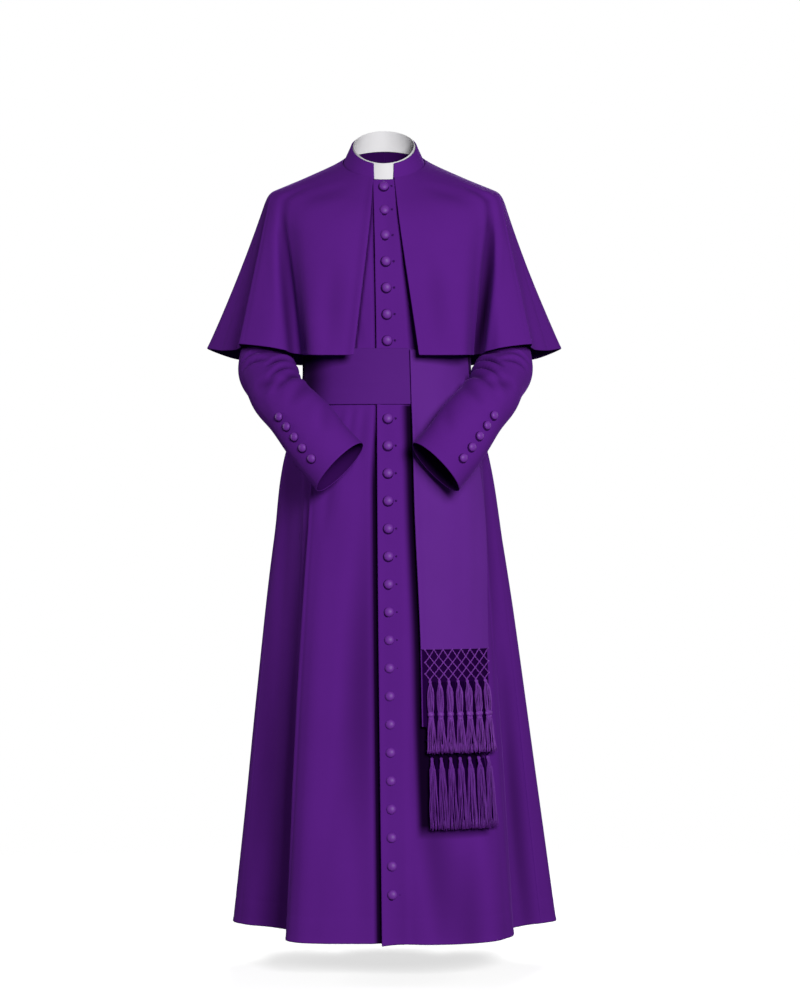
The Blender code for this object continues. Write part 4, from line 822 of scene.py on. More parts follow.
def sleeve_surface(turn, along, side):
    """A sleeve's outer face. turn is 0 on the outer side of the arm and pi/2 in front; along is 0
    at the armhole and 1 at the cuff's mouth. The sleeve is drawn on the wearer's right, where side
    is -1, and mirrored for the left."""
    turn, along = np.broadcast_arrays(np.asarray(turn, float), np.asarray(along, float))
    rows = np.linspace(0, 1, len(SLEEVE) + 1)[1:]

    def read(name, at):
        return through(rows, column(SLEEVE, SLEEVE_COLUMNS, name), at)

    def arm(at):
        x = read("x", at) - (2 * read("mid_x", at) if side > 0 else 0)
        return xyz(x, read("y", at), read("z", at))

    place = np.clip(along, rows[0], 1)
    ahead, behind = np.minimum(place + ARM_STEP, 1), np.maximum(place - ARM_STEP, rows[0])
    axis = unit(arm(ahead) - arm(behind))
    lean = np.radians(read("lean_deg", place))
    outward = xyz(-np.cos(lean), 0 * lean, np.sin(lean))
    forward = unit(np.cross(outward, axis))
    across = outward * (read("outer", place) * np.cos(turn))[..., None]
    points = arm(place) + across + forward * (read("front", place) * np.sin(turn))[..., None]
    seam = armhole(turn, side) * (-side, 1, 1)
    seam[..., 0] -= SEAM_GAP
    share = np.clip(along / rows[0], 0, 1)
    points = np.where((along < rows[0])[..., None], mix(seam, points, share), points)
    return points * (-side, 1, 1)


def cape_lines(side):
    """Neck, yoke and hem points of the cape's fold lines, and how softly each one turns."""
    angle = np.radians(column(CAPE, CAPE_COLUMNS, "neck_deg")) * side
    sewn = collar_surface(angle, np.full_like(angle, CAPE_NECK_RISE))
    neck = sewn + unit(sewn * (1.0, 1.0, 0.0)) * CAPE_NECK_LIFT
    which = "left" if side > 0 else "right"
    read = {name: column(CAPE, CAPE_COLUMNS, name) for name in CAPE_COLUMNS}
    bend = xyz(read[f"yoke_{which}_x"], read["yoke_y"], read["yoke_z"])
    hem = xyz(read[f"hem_{which}_x"], read["hem_y"], read["hem_z"])
    return neck, bend, hem, read["turn"]


def cape_surface(line, down):
    """The cape's outer face. line counts fold lines from the centre back, negative towards the
    wearer's right front edge; down is 0 at the neck, 1 at the hem."""
    line, down = np.broadcast_arrays(np.asarray(line, float), np.asarray(down, float))
    last = len(CAPE) - 1
    knots = np.arange(-last, last + 1)
    halves = zip(cape_lines(-1.0), cape_lines(1.0))
    neck, bend, hem, turn = (
        through(knots, np.concatenate([right, left[::-1][1:]]), line) for right, left in halves
    )
    before, after = turn * CAPE_BEND_AT, turn * (1 - CAPE_BEND_AT) * CAPE_TURN_BELOW
    start = bend - (bend - neck) * turn[..., None]
    end = bend + (hem - bend) * (turn * CAPE_TURN_BELOW)[..., None]
    t = np.clip((down - CAPE_BEND_AT + before) / (before + after), 0, 1)
    curved = mix(mix(start, bend, t), mix(bend, end, t), t)
    upper = mix(neck, bend, down / CAPE_BEND_AT)
    lower = mix(bend, hem, (down - CAPE_BEND_AT) / (1 - CAPE_BEND_AT))
    points = np.where((down < CAPE_BEND_AT - before)[..., None], upper, curved)
    return np.where((down > CAPE_BEND_AT + after)[..., None], lower, points)


def around_at(x, z):
    """Where the body's left front stands at x, at height z."""
    low, high = np.zeros_like(x), np.full_like(x, FALLS_WITHIN)
    for _ in range(HALVINGS):
        middle = (low + high) / 2
        short = skirt_and_waist(middle, z)[..., 0] < x
        low, high = np.where(short, middle, low), np.where(short, high, middle)
    return (low + high) / 2


def fall_edges(z):
    """Where the falls' inner and outer edges hang at height z."""
    return [table(FALL, FALL_COLUMNS, "z", name, z) for name in ("inner_x", "outer_x")]


def fall_surface(across, z, lift):
    """A point over the left front: across is 0 at the falls' inner edge and 1 at the outer."""
    across, z, lift = np.broadcast_arrays(*(np.asarray(n, float) for n in (across, z, lift)))
    inner, outer = fall_edges(z)
    around = around_at(inner + (outer - inner) * across, z)
    return lifted(body_surface, around, z - CHEST_Z, lift)


def fall_width(z):
    inner, outer = fall_edges(z)
    return outer - inner


def net_knot(row, place):
    """A knot of the net, as (share of the width, distance down). place counts tassel pitches."""
    first, last = NET_SPAN
    across = first + (last - first) * (place + 0.5) / TASSELS
    return across, NET_STRIP + row * (NET_HEIGHT - NET_STRIP) / NET_ROWS


# ---------------------------------------------------------------- creases and seams

def crease_path(crease, surface):
    """Points along the middle of a crease."""
    share = np.linspace(0, 1, CREASE_STEPS)
    a, b = (
        crease[f"from_{n}"] + (crease[f"to_{n}"] - crease[f"from_{n}"]) * share for n in "ab"
    )
    return surface(a + crease["bow"] * np.sin(np.pi * share), b)


def nearest(points, path):
    """How far points are from a path, and at which share of its length they are nearest to it."""
    run = np.diff(path, axis=0)
    lengths = np.linalg.norm(run, axis=1)
    from_start = points[:, None, :] - path[None, :-1, :]
    along = np.clip((from_start * run).sum(axis=-1) / lengths**2, 0, 1)
    away = np.linalg.norm(from_start - along[..., None] * run, axis=-1)
    closest = away.argmin(axis=1)
    each = np.arange(len(points))
    passed = np.concatenate([[0.0], np.cumsum(lengths)])[closest]
    place = (passed + along[each, closest] * lengths[closest]) / lengths.sum()
    return away[each, closest], np.clip(place, 0, 1)


def crease_relief(points, surface, rows):
    """How far each point stands off the smooth cloth: soft troughs and ridges along the rows'
    paths, each with low shoulders beside it, fading out at both ends."""
    flat = points.reshape(-1, 3)
    relief = np.zeros(len(flat))
    for row in rows:
        crease = dict(zip(CREASE_COLUMNS, row))
        path = crease_path(crease, surface)
        middle, width = path.mean(axis=0), crease["width"]
        reach = np.linalg.norm(path - middle, axis=1).max() + CREASE_REACH * width
        near = np.flatnonzero(np.linalg.norm(flat - middle, axis=1) < reach)
        distance, place = nearest(flat[near], path)
        fade = np.sin(np.pi * place) ** CREASE_FADE
        spread = width * (CREASE_END_WIDTH + (1 - CREASE_END_WIDTH) * fade)
        beside = bell(distance - SHOULDER_AT * spread, SHOULDER_WIDTH * spread)
        profile = bell(distance, spread) - SHOULDER_HEIGHT * beside
        relief[near] += crease["depth"] * fade * profile
    return relief.reshape(points.shape[:-1])


def darkness(relief):
    """The painted shade of the cloth in its troughs, from 0 on the flat to 1 in the deepest."""
    return np.clip(-relief / DARKEST_DEPTH, 0, 1) ** DARKEST_POWER


def measured(points):
    """Lengths in metres across and up a grid of points, as its weave's coordinates."""
    across = np.linalg.norm(np.diff(points, axis=0, prepend=points[:1]), axis=-1).cumsum(axis=0)
    up = np.linalg.norm(np.diff(points, axis=1, prepend=points[:, :1]), axis=-1).cumsum(axis=1)
    return np.stack([across, up], axis=-1)


def edge_distances(lengths):
    """Each point's distance in metres from the grid's left, right, bottom and top edge."""
    across, up = lengths[..., 0], lengths[..., 1]
    return {"l": across, "r": across[-1:] - across, "b": up, "t": up[:, -1:] - up}


def edge_relief(lengths, seams, folded):
    """Pressed seams sink at their stitching, and turned edges are a little fuller."""
    away = edge_distances(lengths)
    relief = np.zeros(lengths.shape[:-1])
    for seam in seams:
        relief -= SEAM_DIP * bell(away[seam], SEAM_REACH)
    for edge in folded:
        relief += EDGE_ROLL * bell(away[edge] - EDGE_ROLL_WIDTH / 2, EDGE_ROLL_WIDTH)
    return relief


# ---------------------------------------------------------------- pieces

def linked(name, data):
    """A new object in the scene."""
    made = bpy.data.objects.new(name, data)
    bpy.context.scene.collection.objects.link(made)
    return made


def new_mesh(name, points, faces, uv, looks, sides):
    """A smooth-shaded mesh from arrays: points, quads as rows of four numbers, and uv by point.
    sides gives each face's material number."""
    mesh = bpy.data.meshes.new(name)
    mesh.vertices.add(len(points))
    mesh.vertices.foreach_set("co", points.astype(np.float32).ravel())
    mesh.loops.add(faces.size)
    mesh.loops.foreach_set("vertex_index", faces.astype(np.int32).ravel())
    mesh.polygons.add(len(faces))
    mesh.polygons.foreach_set("loop_start", np.arange(0, faces.size, faces.shape[1], dtype=np.int32))
    mesh.polygons.foreach_set("use_smooth", np.ones(len(faces), bool))
    layer = mesh.uv_layers.new(name="weave")
    layer.data.foreach_set("uv", uv[faces.ravel()].astype(np.float32).ravel())
    for look in looks:
        mesh.materials.append(look)
    mesh.polygons.foreach_set("material_index", sides.astype(np.int32))
    mesh.update(calc_edges=True)
    mesh.validate()
    return mesh


def mesh_piece(name, points, faces, uv, looks, slot, sides=None, seams=(), hollow=None):
    """A piece of the garment. seams are the points whose edges stay sharp, and hollow is how
    much shade is painted on each point, in its folds and in shaded places, which the cloth's material
    reads."""
    sides = np.zeros(len(faces)) if sides is None else sides
    mesh = new_mesh(name, points, faces, uv, looks, sides)
    if hollow is not None:
        shade_layer = mesh.attributes.new("hollow", "FLOAT", "POINT")
        shade_layer.data.foreach_set("value", hollow.astype(np.float32))
    if len(seams):
        ends = np.empty(2 * len(mesh.edges), np.int32)
        mesh.edges.foreach_get("vertices", ends)
        sharp = mesh.attributes.new("sharp_edge", "BOOLEAN", "EDGE")
        sharp.data.foreach_set("value", np.isin(ends.reshape(-1, 2), seams).all(axis=1))
    piece = linked(name, mesh)
    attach(piece, "root")
    return piece


def numbered(points):
    """The number of each point, laid out as the points are."""
    return np.arange(points[..., 0].size).reshape(points.shape[:-1])


def ring_quads(near, far):
    """Quads between rings of point numbers and the rings next to them."""
    turned = [np.roll(rings, -1, axis=-1) for rings in (near, far)]
    return np.stack([near, turned[0], turned[1], far], axis=-1).reshape(-1, 4)


def grid_quads(index, wraps):
    """Quads of a grid of point numbers, wound so that they face u x v."""
    left = index if wraps else index[:-1]
    right = np.roll(index, -1, axis=0) if wraps else index[1:]
    return np.stack([left[:, :-1], right[:, :-1], right[:, 1:], left[:, 1:]], axis=-1).reshape(-1, 4)


def rim_strip(edge, beyond, inner_edge, thickness, folded):
    """Points halfway round the edge of a wall. A folded edge is rounded out past the cloth."""
    middle = (edge + inner_edge) / 2
    if not folded:
        return middle
    return middle + unit(edge - beyond) * thickness * RIM_ROUNDING


def shell(name, outer, across, thickness, looks, slot, folded="", wraps=False, uv=None, hollow=None):
    """A thin piece of cloth: the outer grid, the same grid moved in, and its edges between. The
    outer grid's u x v faces out, or in where the piece is mirrored. A second material in looks is the
    cloth's inner face; the wool's is darker, as painted shade."""
    inner = outer - across * thickness
    lengths = measured(outer) if uv is None else uv
    hollow = np.zeros(outer.shape[:2]) if hollow is None else hollow
    index = numbered(outer)
    count = index.size
    mirrored = np.cross(outer[1, 0] - outer[0, 0], outer[0, 1] - outer[0, 0]) @ across[0, 0] < 0
    outside, inside = grid_quads(index, wraps), grid_quads(index + count, wraps)[:, ::-1]
    if mirrored:
        outside, inside = outside[:, ::-1], inside[:, ::-1]
    points, faces = [outer.reshape(-1, 3), inner.reshape(-1, 3)], [outside, inside]
    uvs, hollows = [lengths.reshape(-1, 2)] * 2, [hollow.ravel(), 0 * hollow.ravel()]
    edges = {  # where each edge's points are, those next to them, and whether it is wound backwards
        "b": ((slice(None), 0), (slice(None), 1), False),
        "t": ((slice(None), -1), (slice(None), -2), True),
    }
    if not wraps:
        edges["l"] = ((0, slice(None)), (1, slice(None)), True)
        edges["r"] = ((-1, slice(None)), (-2, slice(None)), False)
    start, seams = 2 * count, []
    for which, (edge, beyond, backwards) in edges.items():
        if which not in folded:
            seams += [index[edge], index[edge] + count]
        strip = rim_strip(outer[edge], outer[beyond], inner[edge], thickness, which in folded)
        middle = start + np.arange(len(strip))
        start += len(strip)
        points.append(strip)
        uvs.append(lengths[edge])
        hollows.append(hollow[edge])
        for ends in ((index[edge], middle), (middle, index[edge] + count)):
            a, b = (np.append(n, n[0]) if wraps else n for n in ends)
            quads = np.stack([a[:-1], b[:-1], b[1:], a[1:]], axis=-1)
            faces.append(quads[:, ::-1] if backwards != mirrored else quads)
    sides = np.zeros(sum(len(lot) for lot in faces))
    sides[len(outside) : 2 * len(outside)] = len(looks) - 1
    points, faces, uvs, hollows = (np.concatenate(lots) for lots in (points, faces, uvs, hollows))
    seams = np.unique(np.concatenate(seams)) if seams else ()
    return mesh_piece(name, points, faces, uvs, looks, slot, sides, seams, hollows)


def creased(name, points, across, relief, looks, seams, folded, hollow=None):
    """A piece of the garment's cloth, raised by its relief and by its seams and turned edges."""
    lengths = measured(points)
    raised = relief + edge_relief(lengths, seams, folded)
    outer = points + across * raised[..., None]
    return shell(name, outer, across, CLOTH, looks, "wool", folded, uv=lengths, hollow=hollow)


def spaced(start, end, count, ends, first, rows):
    """Even numbers from start to end, with a few closer rows at the named ends (s, e), the first
    one this share of an even step away."""
    even = np.linspace(start, end, count)
    step = (even[1] - even[0]) * first
    extra = [start + step * ROWS_WIDEN**k for k in range(rows)] if "s" in ends else []
    extra += [end - step * ROWS_WIDEN**k for k in range(rows)] if "e" in ends else []
    return np.unique(np.concatenate([even, extra]))


# ---------------------------------------------------------------- body panels

def body_levels():
    """Rows of a body panel, from the hem up: close at the hem, and closer above the hip."""
    heights = np.concatenate([
        HEM_Z + np.array(EDGE_METRES),
        HEM_Z + TURNED_HEM + np.array(HEM_STITCH_METRES),
        np.arange(HEM_Z + SKIRT_ROWS_FROM, HIP_Z, SKIRT_ROW),
        np.arange(HIP_Z, CHEST_Z - 0.001, HIP_ROW),
    ])
    return np.concatenate([heights - CHEST_Z, np.linspace(0, 1, YOKE_ROWS)])


def hem_relief(level):
    """The turning's stitched top line, a fine groove round the skirt above its hem."""
    above = level + CHEST_Z - HEM_Z
    turned = HEM_TURNING * np.clip((TURNED_HEM - above) / HEM_TURNING_FADES, 0, 1)
    return turned - HEM_STITCHES * bell(above - TURNED_HEM, HEM_STITCHES_WIDTH)


def body_piece(name, around, level, lift, front, seams, folded, creases, wool, shade=0.0):
    """A panel of the body, lifted off its smooth surface. shade is the least painted shade that it has.
    """
    surface = body_surface if front else back_surface
    points = surface(around, level)

    def by_height(a, z):
        return surface(a, z - CHEST_Z)

    relief = crease_relief(points, by_height, creases) * np.clip(1 - level / CREASES_END, 0, 1)
    hollow = np.maximum(darkness(relief), shade)
    relief += lift + hem_relief(level)
    across = body_across(around, level, front)
    return creased(name, points, across, relief, wool, seams, folded, hollow)


def front_columns(levels, metres, side):
    """Columns of a front panel: a few at set distances from the centre front, then even shares of
    what is left of the way to the side seam."""
    speed = centre_speed(levels)
    near = [side * m / speed for m in metres]
    shares = spaced(0, 1, count=PANEL_COLUMNS, ends="e", first=0.3, rows=2)[1:]
    return np.array(near + [near[-1] + (side * 0.5 - near[-1]) * share for share in shares])


def front_left_piece(wool):
    levels = body_levels()
    metres = [m - EDGE_FROM_CENTRE for m in EDGE_METRES] + list(BUTTON_STAND_METRES)
    around = front_columns(levels, metres, 1.0)
    level = np.broadcast_to(levels, around.shape).copy()
    from_edge = around * centre_speed(level) + EDGE_FROM_CENTRE
    lift = overlap_lift(around, level)
    # the raised part of the top edge stops short of the collar
    level *= 1 - np.clip(level, 0, 1) * lift * TOP_SHORT / YOKE_LENGTH
    lift = lift + EDGE_LIFT * bell(from_edge, EDGE_LIFT_WIDTH) * np.clip(1 - level, 0, 1)
    above_hem = level + CHEST_Z - HEM_Z
    beside = np.clip(1 - from_edge / CORNER_WIDTH, 0, 1) ** 2
    level -= CORNER_DROP * beside * np.clip(1 - above_hem / CORNER_HEIGHT, 0, 1) ** 2
    shade = fall_shade(around, level)
    return body_piece(
        "front_left_cloth", around, level, lift, True, "rt", "lb", FRONT_CREASES, wool, shade
    )


def fall_shade(around, level):
    """How dark the left front is under the falls and beside their inner edge."""
    z = level + CHEST_Z
    x = body_surface(around, level)[..., 0]
    inner, outer = fall_edges(z)
    beside = 1 - levelled((inner - x - FALL_SHADE_FULL) / FALL_SHADE_FADES)
    under = levelled((outer - x) / FALL_SHADE_FADES)
    fringe_end = REAR_FALL_BOTTOM_Z - NET_HEIGHT - PLAIN_STRANDS_TO
    below = 1 - levelled((fringe_end - z) / FALL_SHADE_FADES)
    return beside * under * below * (z < SASH_BOTTOM_Z)


def edge_trough(around, level):
    """The soft trough of the right front along the left front's free edge, narrow on the chest."""
    grown = levelled((SASH_BOTTOM_Z - CHEST_Z - level) / TROUGH_GROWS)
    spread = CHEST_TROUGH + (1 - CHEST_TROUGH) * grown
    away = -around * centre_speed(level) - EDGE_FROM_CENTRE - TROUGH_FROM_EDGE * spread
    width = np.where(away > 0, TROUGH_FAR, TROUGH_NEAR) * spread
    return -TROUGH_DEPTH * bell(away, width) * np.clip(1 - level, 0, 1)


def cape_shade(around, level):
    """How dark the right front is along the cape's front edge."""
    edge = cape_surface(1.0 - len(CAPE), np.linspace(1, 0, 40))
    points = body_surface(around, level)
    x, z = points[..., 0], points[..., 2]
    away = x - np.interp(z, edge[:, 2], edge[:, 0]) - CAPE_SHADE_WIDTH / 2
    return CAPE_SHADE * bell(away, CAPE_SHADE_WIDTH) * (z > edge[0, 2])


def front_right_piece(wool):
    levels = body_levels()
    metres = [m - UNDERLAP for m in EDGE_METRES] + UNDERLAP_METRES
    around = front_columns(levels, metres, -1.0)[::-1]
    level = np.broadcast_to(levels, around.shape)
    trough = edge_trough(around, level)
    shade = np.maximum(darkness(trough), cape_shade(around, level))
    return body_piece(
        "front_right_cloth", around, level, trough, True, "lt", "rb", FRONT_CREASES, wool, shade
    )


def back_piece(name, side, wool):
    arounds = spaced(0.5, 1.0, count=96, ends="se", first=0.3, rows=2)[:: int(side)] * side
    around, level = grid(arounds, body_levels())
    return body_piece(name, around, level, 0 * level, False, "lrt", "b", BACK_CREASES, wool)


# ---------------------------------------------------------------- collar

def collar_piece(wool):
    heights = spaced(COLLAR_BELOW, 1.0, count=18, ends="se", first=0.12, rows=2)
    ways = spaced(-1.0, 1.0, count=120, ends="se", first=0.05, rows=3)
    way, height = grid(ways, heights)
    foot, top = COLLAR_OPENING_DEG
    angle = math.pi + way * (math.pi - np.radians(foot + (top - foot) * height))
    outer, inner = (collar_band(angle, height, inset) for inset in (0.0, COLLAR_CLOTH))
    across = (outer - inner) / COLLAR_CLOTH
    lengths = measured(outer)
    outer = outer + across * edge_relief(lengths, "", "lrt")[..., None] * THIN_EDGE
    return shell("collar_cloth", outer, across, COLLAR_CLOTH, wool, "wool", "lrt", uv=lengths)


def insert_piece(linens):
    heights = spaced(INSERT_BELOW, INSERT_ABOVE, count=18, ends="se", first=0.12, rows=2)
    turns = np.linspace(0, 2 * math.pi, INSERT_COLUMNS, endpoint=False)
    angle, height = grid(turns, heights)
    inset = COLLAR_CLOTH + 2 * SEAM_GAP
    outer, inner = (collar_band(angle, height, d) for d in (inset, inset + INSERT_CLOTH))
    across = (outer - inner) / INSERT_CLOTH
    return shell(
        "collar_insert_band", outer, across, INSERT_CLOTH, linens, "white_insert", "bt", wraps=True
    )


# ---------------------------------------------------------------- sleeves

def sleeve_piece(name, side, seams_deg, wool):
    def surface(turn, along):
        return sleeve_surface(turn, along, side)

    def by_degrees(turn, along):
        return surface(np.radians(turn), along)

    turns = np.radians(spaced(*seams_deg, count=56, ends="se", first=0.3, rows=2))
    alongs = spaced(0.0, 1.0, count=168, ends="se", first=0.2, rows=2)
    turn, along = grid(turns, alongs)
    across = normals(surface, turn, along) * side
    across[:, 0] = armhole_across(turn[:, 0], side)
    points = surface(turn, along)
    relief = crease_relief(points, by_degrees, SLEEVE_CREASES)
    hollow = darkness(relief)
    relief += crease_relief(points, by_degrees, SLEEVE_HOLLOWS)
    return creased(name, points, across, relief, wool, "lrb", "t", hollow)


# ---------------------------------------------------------------- cape

def cape_piece(name, lines, seams, folded, wool):
    downs = spaced(0.0, 1.0, count=84, ends="se", first=0.12, rows=3)
    line, down = grid(lines, downs)
    points, across = cape_surface(line, down), normals(cape_surface, line, down)
    relief = crease_relief(points, cape_surface, CAPE_CREASES)
    relief *= np.clip(down / CAPE_CREASES_START, 0, 1)
    return creased(name, points, across, relief, wool, seams, folded, darkness(relief))


def cape_pieces(wool):
    """The cape's pieces, by the node that each stands for."""
    last = len(CAPE) - 1
    seam = last - CAPE_SEAM_ROW
    right = spaced(-last, -seam, count=84, ends="se", first=0.15, rows=2)
    back = spaced(-seam, seam, count=150, ends="se", first=0.15, rows=2)
    rows = (
        ("cape_front_right", right, "r", "lt"),
        ("cape_front_left", -right[::-1], "l", "rt"),
        ("cape_back", back, "lr", "t"),
    )
    return {
        node: cape_piece(node + "_cloth", lines, seams, folded, wool)
        for node, lines, seams, folded in rows
    }


# ---------------------------------------------------------------- sash

def arm_shade(around):
    """How dark the sash is between the arms and the waist."""
    from_front = levelled((abs(around) - ARM_SHADE_FROM) / (ARM_SHADE_FULL - ARM_SHADE_FROM))
    from_back = levelled((ARM_SHADE_BACK - abs(around)) / (ARM_SHADE_FULL - ARM_SHADE_FROM))
    return ARM_SHADE * from_front * from_back


def sash_band_piece(silk):
    def by_height(around, z):
        return lifted(body_surface, around, z - CHEST_Z, SASH_LIFT)

    arounds = np.linspace(-1, 1, BAND_COLUMNS, endpoint=False)
    heights = spaced(SASH_BOTTOM_Z, SASH_TOP_Z, count=24, ends="se", first=0.12, rows=3)
    around, z = grid(arounds, heights)
    across = normals(body_surface, around, z - CHEST_Z)
    outer = by_height(around, z)
    lengths = measured(outer)
    relief = crease_relief(outer, by_height, SASH_CREASES)
    relief += edge_relief(lengths, "", "bt") * THIN_EDGE
    outer = outer + across * relief[..., None]
    return shell(
        "sash_band_cloth", outer, across, SASH_CLOTH, silk, "sash_silk", "bt", wraps=True,
        uv=lengths, hollow=arm_shade(around),
    )


def fall_relief(across, z):
    """Both falls share one slow wave and one lifted edge, so that they never touch."""
    run = FALL_WAVE_ACROSS * across + FALL_WAVE_DOWN * z + FALL_WAVE_START
    grown = np.clip((FALL_TOP_Z - z) / FALL_WAVE_GROWS, 0, 1)
    below_band = np.clip((SASH_BOTTOM_Z - z) / FALL_EDGE_LIFT_GROWS, 0, 1)
    edge = FALL_EDGE_LIFT * bell(across, FALL_EDGE_WIDTH)
    return grown * FALL_WAVE * np.sin(np.pi * run) + below_band * edge


def fall_point(across, z, lift):
    return fall_surface(across, z, lift + fall_relief(across, z))


def fall_piece(name, bottom_z, lift, silk):
    shares = spaced(0, 1, count=34, ends="se", first=0.08, rows=3)
    heights = spaced(bottom_z, FALL_TOP_Z, count=130, ends="se", first=0.12, rows=2)
    across, z = grid(shares, heights)
    outer, inner = fall_point(across, z, lift), fall_point(across, z, lift - SASH_CLOTH)
    lengths = measured(outer)
    relief = crease_relief(outer, lambda a, b: fall_point(a, b, lift), FALL_CREASES)
    relief += edge_relief(lengths, "", "lrb") * THIN_EDGE
    away = (outer - inner) / SASH_CLOTH
    outer = outer + away * relief[..., None]
    return shell(name, outer, away, SASH_CLOTH, silk, "sash_silk", "lrbt", uv=lengths)


# ---------------------------------------------------------------- fringe

def tubes(paths, radii, sides):
    """Tubes round many paths of as many points each. Gives points, quads and weave coordinates."""
    count, steps = paths.shape[:2]
    radii = np.broadcast_to(radii, (count, steps))
    tangent = unit(np.gradient(paths, axis=1))
    side = unit(np.cross(tangent, (0.0, -1.0, 0.05)))
    face = np.cross(side, tangent)
    turn = 2 * np.pi * np.arange(sides) / sides
    ring = side[:, :, None] * np.cos(turn)[:, None] + face[:, :, None] * np.sin(turn)[:, None]
    points = paths[:, :, None] + ring * radii[:, :, None, None]
    index = numbered(points)
    quads = ring_quads(index[:, :-1], index[:, 1:])
    # a quad across each end
    ends = np.stack([index[:, 0, ::-1][:, :4], index[:, -1, :4]], axis=1).reshape(-1, 4)
    along = lengths_along(paths)[..., None]
    uv = np.stack(np.broadcast_arrays(turn * radii.mean(), along), axis=-1)
    return points.reshape(-1, 3), np.concatenate([quads, ends]), uv.reshape(-1, 2)


def joined(parts):
    """Several lots of points, quads and coordinates as one."""
    starts = np.cumsum([0] + [len(points) for points, _, _ in parts[:-1]])
    return (
        np.concatenate([points for points, _, _ in parts]),
        np.concatenate([faces + start for (_, faces, _), start in zip(parts, starts)]),
        np.concatenate([uv for _, _, uv in parts]),
    )


def knots(centres):
    """Small knots: round beads, flattened towards the cloth behind them."""
    turn = np.linspace(0, 2 * np.pi, KNOT_SIDES, endpoint=False)
    rise = np.linspace(-KNOT_ENDS, KNOT_ENDS, KNOT_RINGS)
    wide, high = np.sqrt(1 - rise**2)[:, None], rise[:, None] + 0 * turn
    ball = np.stack([wide * np.cos(turn), KNOT_FLATNESS * wide * np.sin(turn), high], axis=-1)
    points = centres[:, None, None] + ball * NET_KNOT
    index = numbered(points)
    quads = ring_quads(index[:, :-1], index[:, 1:])
    uv = np.stack(grid(rise * NET_KNOT, turn * NET_KNOT), axis=-1)
    uv = np.broadcast_to(uv, (*points.shape[:-1], 2))
    return points.reshape(-1, 3), quads, uv.reshape(-1, 2)


def net_cord_ends():
    """Pairs of knots, as (row, place), that a cord of the net joins."""
    pairs = []
    for i in range(TASSELS):
        pairs += [((0, i - 0.5), (1, i)), ((0, i + 0.5), (1, i))]
    for row in range(1, NET_ROWS):
        shift = 0.0 if row % 2 else 0.5
        for i in range(TASSELS + (1 if shift else 0)):
            here = i - shift
            for there in (here - 0.5, here + 0.5):
                if -0.5 <= there <= TASSELS - 0.5:
                    pairs.append(((row, here), (row + 1, there)))
    return pairs


def net_parts(top_z, lift):
    """The net's cords, in pairs of plied yarns, and the knots that join them."""
    def place(knot):
        share, down = net_knot(*knot)
        return share, top_z - SEAM_GAP - (down if knot[0] else 0.0)

    steps = np.linspace(0, 1, CORD_STEPS)
    off = lift - NET_CLOTH / 2
    paths = []
    for number, (one, other) in enumerate(net_cord_ends()):
        (share_a, z_a), (share_b, z_b) = place(one), place(other)
        z = z_a + (z_b - z_a) * steps
        for ply in (-1, 1):
            wound = 2 * np.pi * NET_TURNS * steps + number
            aside, ahead = NET_PLY_ASIDE * np.sin(wound), NET_PLY_AHEAD * np.cos(wound)
            across = share_a + (share_b - share_a) * steps + ply * aside
            paths.append(fall_point(across, z, off + ply * ahead))
    spots = sorted({knot for pair in net_cord_ends() for knot in pair})
    shares, heights = np.array([place(knot) for knot in spots]).T
    return [tubes(np.array(paths), NET_YARN, CORD_SIDES), knots(fall_point(shares, heights, off))]


